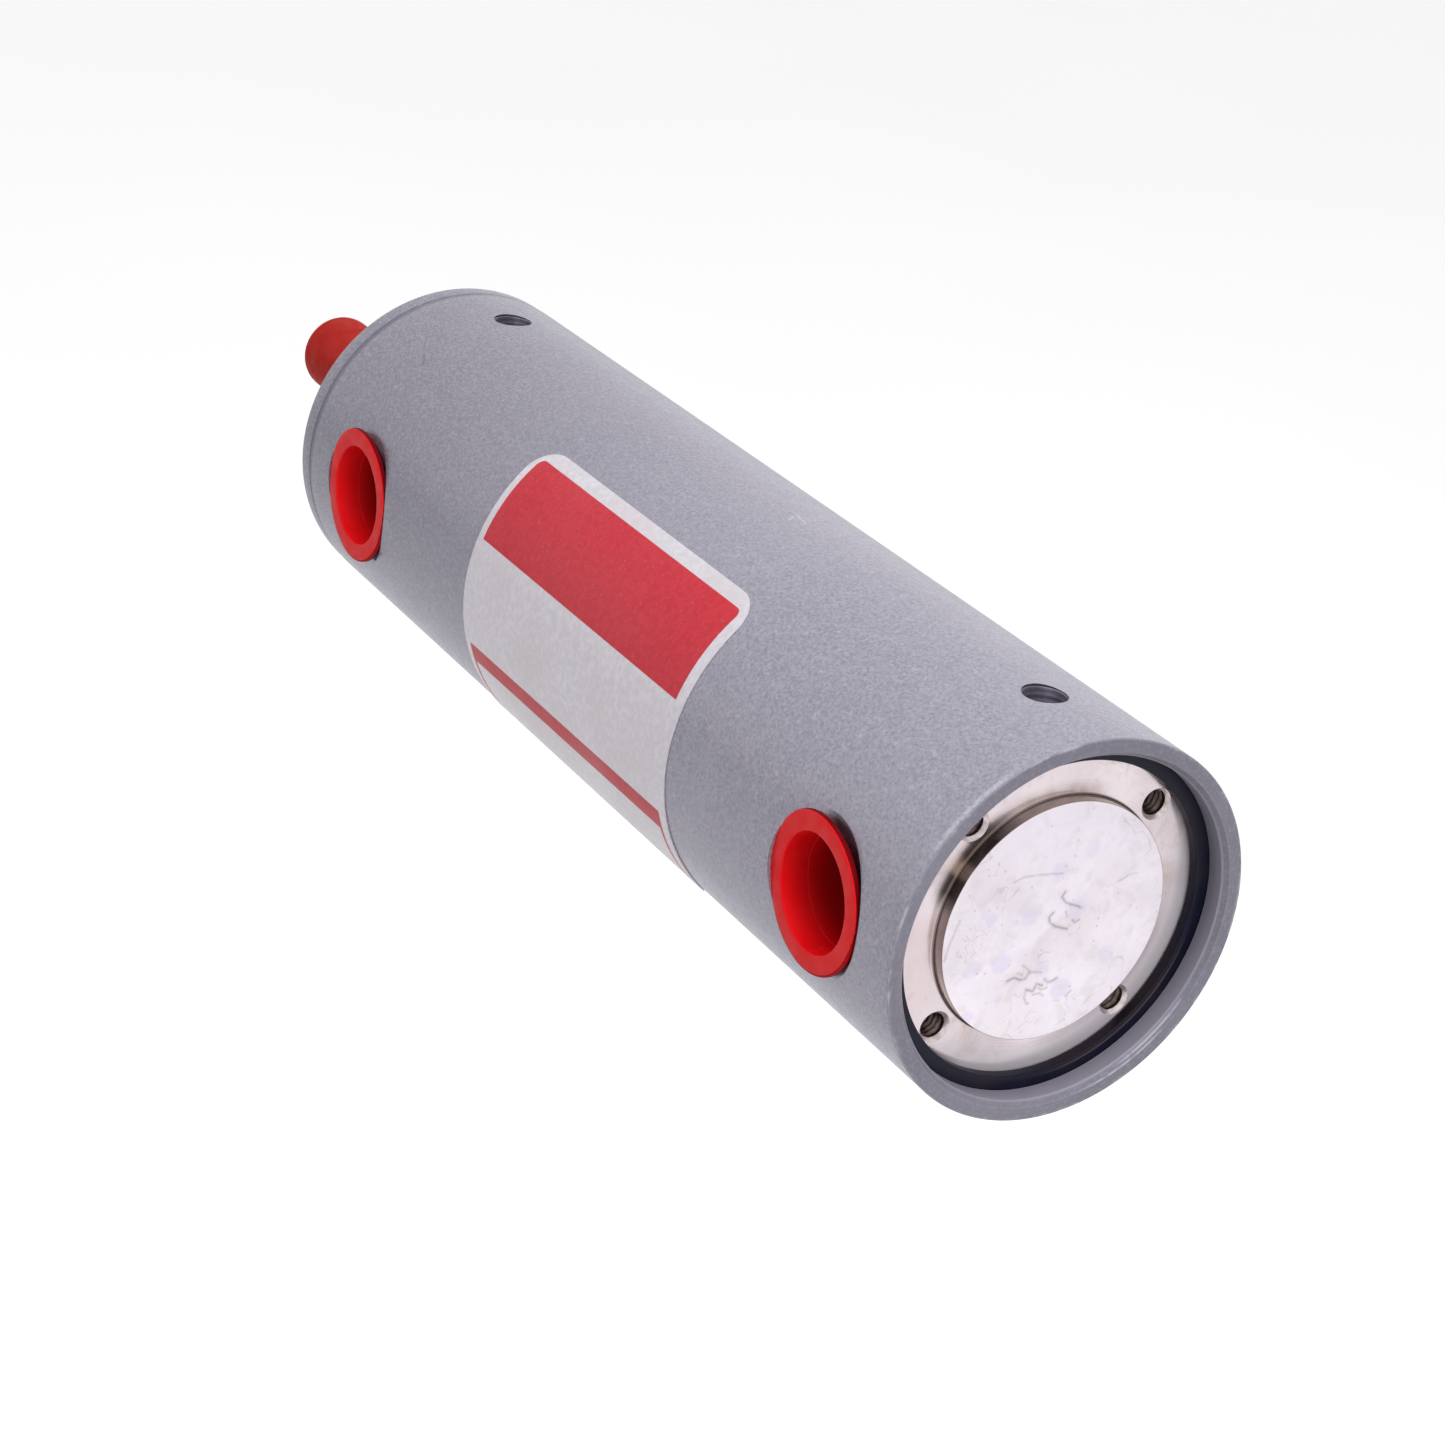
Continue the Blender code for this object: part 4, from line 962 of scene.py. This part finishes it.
def make_front_head(material):
    """Front head: flange, pilot boss, spigot, and bores for the bushing, seal and wiper."""
    pilot = FRONT_HEAD_HIGH.x
    flange_front = pilot - PILOT_HEIGHT
    flange_back = flange_front - FLANGE_THICKNESS
    inner = FRONT_HEAD_LOW.x
    bushing_end = inner + BUSHING_LENGTH
    gland_start = bushing_end + LAND_LENGTH
    gland_end = gland_start + GLAND_LENGTH
    wiper_seat = WIPER_START - 0.15
    profile = [
        (pilot, WIPER_RADIUS, 0.3),
        (pilot, BOSS_RADIUS, 0.5),
        (flange_front, BOSS_RADIUS, 0.3),
        (flange_front, FLANGE_RADIUS, 0.8),
        (flange_back, FLANGE_RADIUS, 0.3),
        (flange_back, HEAD_RADIUS),
        *spigot_profile(TUBE_HIGH.x + TUBE_GAP, inner, 1),
        (inner, BUSHING_RADIUS),
        (bushing_end, BUSHING_RADIUS),
        (bushing_end, ROD_BORE),
        (gland_start, ROD_BORE),
        (gland_start, GLAND_RADIUS),
        (gland_end, GLAND_RADIUS),
        (gland_end, ROD_BORE),
        (wiper_seat, ROD_BORE),
        (wiper_seat, WIPER_RADIUS),
    ]
    head = lathe("front_head_turned", profile, longest=3)
    cut_head(head, flange_front, (1, 0, 0), FRONT_PORT_X, FRONT_SIDE_X)
    return dress(head, "barrel", [material], ["front_head"])


def make_threads(material, mouth, dark):
    """Threads of the eight face holes and the two side holes."""
    rear_face = REAR_HEAD_LOW.x + BOSS_HEIGHT
    front_face = FRONT_HEAD_HIGH.x - PILOT_HEIGHT
    for side, face, direction in [("rear", rear_face, (-1, 0, 0)), ("front", front_face, (1, 0, 0))]:
        for i, place in enumerate(face_hole_places(face)):
            sleeve = threaded_sleeve(f"{side}_face_thread_{i + 1}", place, direction, *FACE_THREAD)
            inside = place[0] - direction[0] * 0.48

            def chooser(centre, normal):
                return 1 if (centre.x - inside) * direction[0] > 0 else 0

            dress(sleeve, "barrel", [material, mouth], chooser=chooser)
    for side, x in [("rear", REAR_SIDE_X), ("front", FRONT_SIDE_X)]:
        sleeve = threaded_sleeve(f"{side}_side_thread", (x, 0, BODY_RADIUS - 0.3), (0, 0, 1), *SIDE_THREAD)
        dress(sleeve, "barrel", [dark])


def make_retaining_ring(material):
    """Black split ring in its groove."""
    outer = RING_HIGH.z
    profile = [
        (RING_LOW.x, RING_INNER, 0.2),
        (RING_LOW.x, outer, 0.1),
        (RING_HIGH.x, outer, 0.1),
        (RING_HIGH.x, RING_INNER, 0.2),
    ]
    ring = lathe("retaining_ring_split", profile)
    angle = PI / 4
    middle = (RING_INNER + outer) / 2
    shape = bmesh.new()
    bmesh.ops.create_cube(shape, size=1.0)
    bmesh.ops.scale(shape, vec=Vector(RING_GAP) * MM, verts=shape.verts)
    gap = finish_mesh("ring_gap", shape)
    centre = Vector((RING_LOW.x, middle * math.cos(angle), middle * math.sin(angle))) * MM
    gap.data.transform(Matrix.Translation(centre) @ Matrix.Rotation(angle, 4, "X"))
    cut(ring, [gap])
    drop([gap])
    return dress(ring, "barrel", [material], ["rear_retaining_ring"])


def make_port_plug(name, node, material, edge, port_x, lean_degrees, rise):
    """Flanged plug: soft-edged flange and a deep tapered cup with a small step inside."""
    top = PLUG_HIGH.y
    under = SPOTFACE_HEIGHT + 0.075
    floor = PLUG_LOW.y + 1
    step = top - 3.6
    profile = [
        (floor, 0),
        (floor, 6.35, 0.6),
        (step, 7.04, 0.04),
        (step, 7.13, 0.04),
        (top, 7.5, 0.25),
        (top, PLUG_RADIUS, 0.3),
        (top - 0.8, PLUG_RADIUS, 0.15),
        (top - 0.8, 9.65),
        (under, 9.55),
        (under, 8.675, 0.2),
        (PLUG_LOW.y, 7.4, 0.5),
        (PLUG_LOW.y, 0),
    ]
    plug = lathe(name, profile, closed=False)
    turn_to(plug, (0, 1, 0), (port_x, 0, 0))
    seat = Vector((port_x, 20, 0)) * MM
    lean = Matrix.Rotation(math.radians(lean_degrees), 4, Vector(PLUG_LEAN_AXIS))
    lift = Matrix.Translation(Vector((0, rise, 0)) * MM)
    turn = Matrix.Rotation(math.radians(PORT_TURN), 4, "X")
    plug.data.transform(turn @ lift @ Matrix.Translation(seat) @ lean @ Matrix.Translation(-seat))

    def chooser(centre, normal):
        reach = math.hypot(centre.x - port_x, centre.z)
        return 1 if reach > 9.95 or (abs(normal.y) < 0.5 and reach > 8.9) else 0

    return dress(plug, "barrel", [material, edge], [node], chooser)


def make_cap(material):
    tip = CAP_HIGH.x
    mouth = CAP_LOW.x
    profile = [
        (tip, 0),
        (tip, CAP_RADIUS, 2.6),
        (mouth, CAP_RADIUS, 0.25),
        (mouth, CAP_BORE, 0.25),
        (tip - CAP_END_WALL, CAP_BORE, 0.4),
        (tip - CAP_END_WALL, 0),
    ]
    cap = lathe("rod_cap_moulded", profile, MEDIUM, longest=6, closed=False, fillet_steps=10)
    return dress(cap, "rod_assembly", [material], ["rod_thread_cap"])


def make_label(material):
    """Film with rounded corners, wrapped round the tube."""
    inner = (BODY_RADIUS + 0.04) * MM
    outer = LABEL_SURFACE * MM
    half_length = (LABEL_HIGH.x - LABEL_LOW.x) / 2
    half_arc = math.asin(LABEL_HIGH.z / LABEL_SOLID_RADIUS) * LABEL_FLAT_RADIUS
    straight = half_arc - LABEL_CORNER
    inset = half_length - LABEL_CORNER
    rows = []
    for i in range(CORNER_STEPS + 1):
        angle = PI / 2 * i / CORNER_STEPS
        rows.append((straight + LABEL_CORNER * math.sin(angle), inset + LABEL_CORNER * math.cos(angle)))
    middle = [(straight * (2 * i / LABEL_ROWS - 1), half_length) for i in range(1, LABEL_ROWS)]
    rows = [(-arc, length) for arc, length in reversed(rows)] + middle + rows
    columns = LABEL_COLUMNS
    shape = bmesh.new()
    sides = []
    for radius in (inner, outer):
        grid = []
        for arc, length in rows:
            angle = arc / LABEL_FLAT_RADIUS
            line = []
            for k in range(columns + 1):
                x = (LABEL_MIDDLE + length * (2 * k / columns - 1)) * MM
                line.append(shape.verts.new((x, radius * math.cos(angle), radius * math.sin(angle))))
            grid.append(line)
        sides.append(grid)
    for grid in sides:
        for low, high in zip(grid, grid[1:]):
            for k in range(columns):
                shape.faces.new((low[k], low[k + 1], high[k + 1], high[k]))
    under, over = sides
    border = [(0, k) for k in range(columns)]
    border += [(r, columns) for r in range(len(rows) - 1)]
    border += [(len(rows) - 1, k) for k in range(columns, 0, -1)]
    border += [(r, 0) for r in range(len(rows) - 1, 0, -1)]
    for (r1, k1), (r2, k2) in zip(border, border[1:] + border[:1]):
        shape.faces.new((under[r1][k1], under[r2][k2], over[r2][k2], over[r1][k1]))
    bmesh.ops.recalc_face_normals(shape, faces=shape.faces)
    label = finish_mesh("label_film", shape)
    return dress(label, "barrel", [material], ["product_label"])


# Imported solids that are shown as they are
O_RINGS = ["rear_head_o_ring", "front_head_o_ring", "piston_o_ring"]
SEALS = [*O_RINGS, "rear_piston_seal", "front_piston_seal", "rod_seal"]
BUMPERS = ["rear_bumper", "front_bumper", "rod_wiper"]


def show(material, *nodes):
    """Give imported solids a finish."""
    for node in nodes:
        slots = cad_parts[node].data.materials
        slots.clear()
        slots.append(material)


# Light, floor and camera

CAMERA_PLACE = Vector((-0.26253, 0.22335, 0.16269))
CAMERA_AIM = Vector((0.07773, 0.00023, -0.00855))
CAMERA_ROLL = 9.02
CAMERA_LENS = 79.08
FLOOR_HEIGHT = -0.16
FLOOR_GLOW = 0.64
FLOOR_GLOSS = 0.5
FLOOR_DARK = (0.58, 0.58, 0.58, 1)
FLOOR_LIGHT = (0.61, 0.61, 0.61, 1)
WHITE = (1, 1, 1, 1)
WORLD_LIGHT = 0.33
KEY_LIGHT = {"place": (-0.3, 0.12, 0.72), "aim": (0.02, 0, 0), "size": 0.75, "power": 5}
REAR_LIGHT = {"place": (-1.2, -0.1, 0.45), "aim": (0, 0, 0), "size": 0.8, "power": 8.3}


def make_camera():
    data = bpy.data.cameras.new("camera")
    camera = bpy.data.objects.new("camera", data)
    bpy.context.scene.collection.objects.link(camera)
    data.lens = CAMERA_LENS
    data.sensor_width = 36
    data.clip_start = 0.01
    look = (CAMERA_AIM - CAMERA_PLACE).to_track_quat("-Z", "Y")
    roll = Matrix.Rotation(math.radians(CAMERA_ROLL), 4, "Z")
    camera.matrix_world = Matrix.Translation(CAMERA_PLACE) @ look.to_matrix().to_4x4() @ roll
    bpy.context.scene.camera = camera


def make_area_light(name, place, aim, size, power):
    data = bpy.data.lights.new(name, "AREA")
    data.size = size
    data.energy = power
    light = bpy.data.objects.new(name, data)
    light.visible_glossy = False
    light.location = place
    light.rotation_euler = (Vector(aim) - Vector(place)).to_track_quat("-Z", "Y").to_euler()
    bpy.context.scene.collection.objects.link(light)


def make_world(strength):
    """Even pale surroundings: white to the camera and in gloss, dimmer as light on the object."""
    w = Nodes("studio", bpy.data.worlds, "Background")
    bpy.context.scene.world = w.owner
    rays = w.node("ShaderNodeLightPath").outputs
    bright = w.calc("ADD", rays["Is Camera Ray"], rays["Is Glossy Ray"], clamp=True)
    bright = w.calc("ADD", bright, rays["Is Transmission Ray"], clamp=True)
    level = w.node("ShaderNodeMapRange", {"Value": bright, "To Min": strength, "To Max": 1})
    w.shade(Color=WHITE, Strength=level.outputs["Result"])


def make_floor():
    """Wide pale floor below the held cylinder."""
    shape = bmesh.new()
    bmesh.ops.create_grid(shape, x_segments=8, y_segments=8, size=3.0)
    floor = finish_mesh("floor", shape)
    floor.data.transform(Matrix.Translation((0, 0, FLOOR_HEIGHT)))
    m = Nodes("pale_floor")
    m.colour = m.mix(m.step(m.noise(3, 2)), FLOOR_DARK, FLOOR_LIGHT)
    path = m.node("ShaderNodeLightPath")
    glow = m.calc("MULTIPLY", path.outputs["Is Camera Ray"], FLOOR_GLOW)
    glow = m.calc("MULTIPLY_ADD", path.outputs["Is Glossy Ray"], FLOOR_GLOSS, glow)
    m.surface(Roughness=0.8, Emission_Color=WHITE, Emission_Strength=glow)
    floor.data.materials.append(m.owner)


def main():
    anodised = anodised_material()
    alloy = turned_alloy_material()
    cut_metals = cut_metal("cut_thread", *CUT_THREAD), cut_metal("hole_mouth", *HOLE_MOUTH)
    red = red_plastic_material("red_plastic", (255, 20, 28), (248, 8, 20), 0.19, 0.45)
    # A darker copy of the red plastic for the plugs' flange sides, painted as shade.
    shaded_red_edge = red_plastic_material("red_plastic_edge_painted_shade", (190, 8, 18), (172, 2, 14), 0.05, 0.6, 0.1)
    faded = red_plastic_material("faded_red_plastic", (200, 48, 40), (188, 36, 30), 0.15, 0.6, 0.08)
    make_outer_tube(anodised, rim_material(), bore_material())
    make_rear_head(alloy, boss_material())
    make_front_head(anodised)
    make_threads(*cut_metals, dark_thread_material())
    make_retaining_ring(black_steel_material())
    make_port_plug("rear_plug_moulded", "rear_port_plug", red, shaded_red_edge, *REAR_PLUG_SET)
    make_port_plug("front_plug_moulded", "front_port_plug", red, shaded_red_edge, *FRONT_PLUG_SET)
    make_cap(faded)
    make_label(label_material())

    show(plain_polymer("black_nitrile", (24, 24, 25), (34, 34, 35), 0.55), *SEALS)
    show(plain_polymer("amber_urethane", (150, 104, 40), (168, 120, 52), 0.45), *BUMPERS)
    show(plain_polymer("wear_plastic", (86, 82, 76), (98, 94, 86), 0.5), "piston_wear_ring")
    show(plain_metal("ground_chrome", (170, 170, 174), (154, 154, 159), 0.16, scale=5000), "piston_rod")
    show(plain_metal("plain_aluminium", (214, 214, 216), (196, 196, 199), 0.32), "piston")
    show(plain_metal("plated_steel", (198, 196, 188), (178, 175, 164), 0.32), "piston_nut")
    show(plain_metal("bronze", (196, 156, 96), (176, 136, 80), 0.38), "rod_bushing")
    show(plain_metal("stainless_tube", (208, 207, 205), (192, 190, 188), 0.25), "inner_tube")

    make_camera()
    make_world(WORLD_LIGHT)
    make_floor()
    make_area_light("key", **KEY_LIGHT)
    make_area_light("rear", **REAR_LIGHT)
    bpy.context.scene.view_settings.view_transform = "Standard"


main()
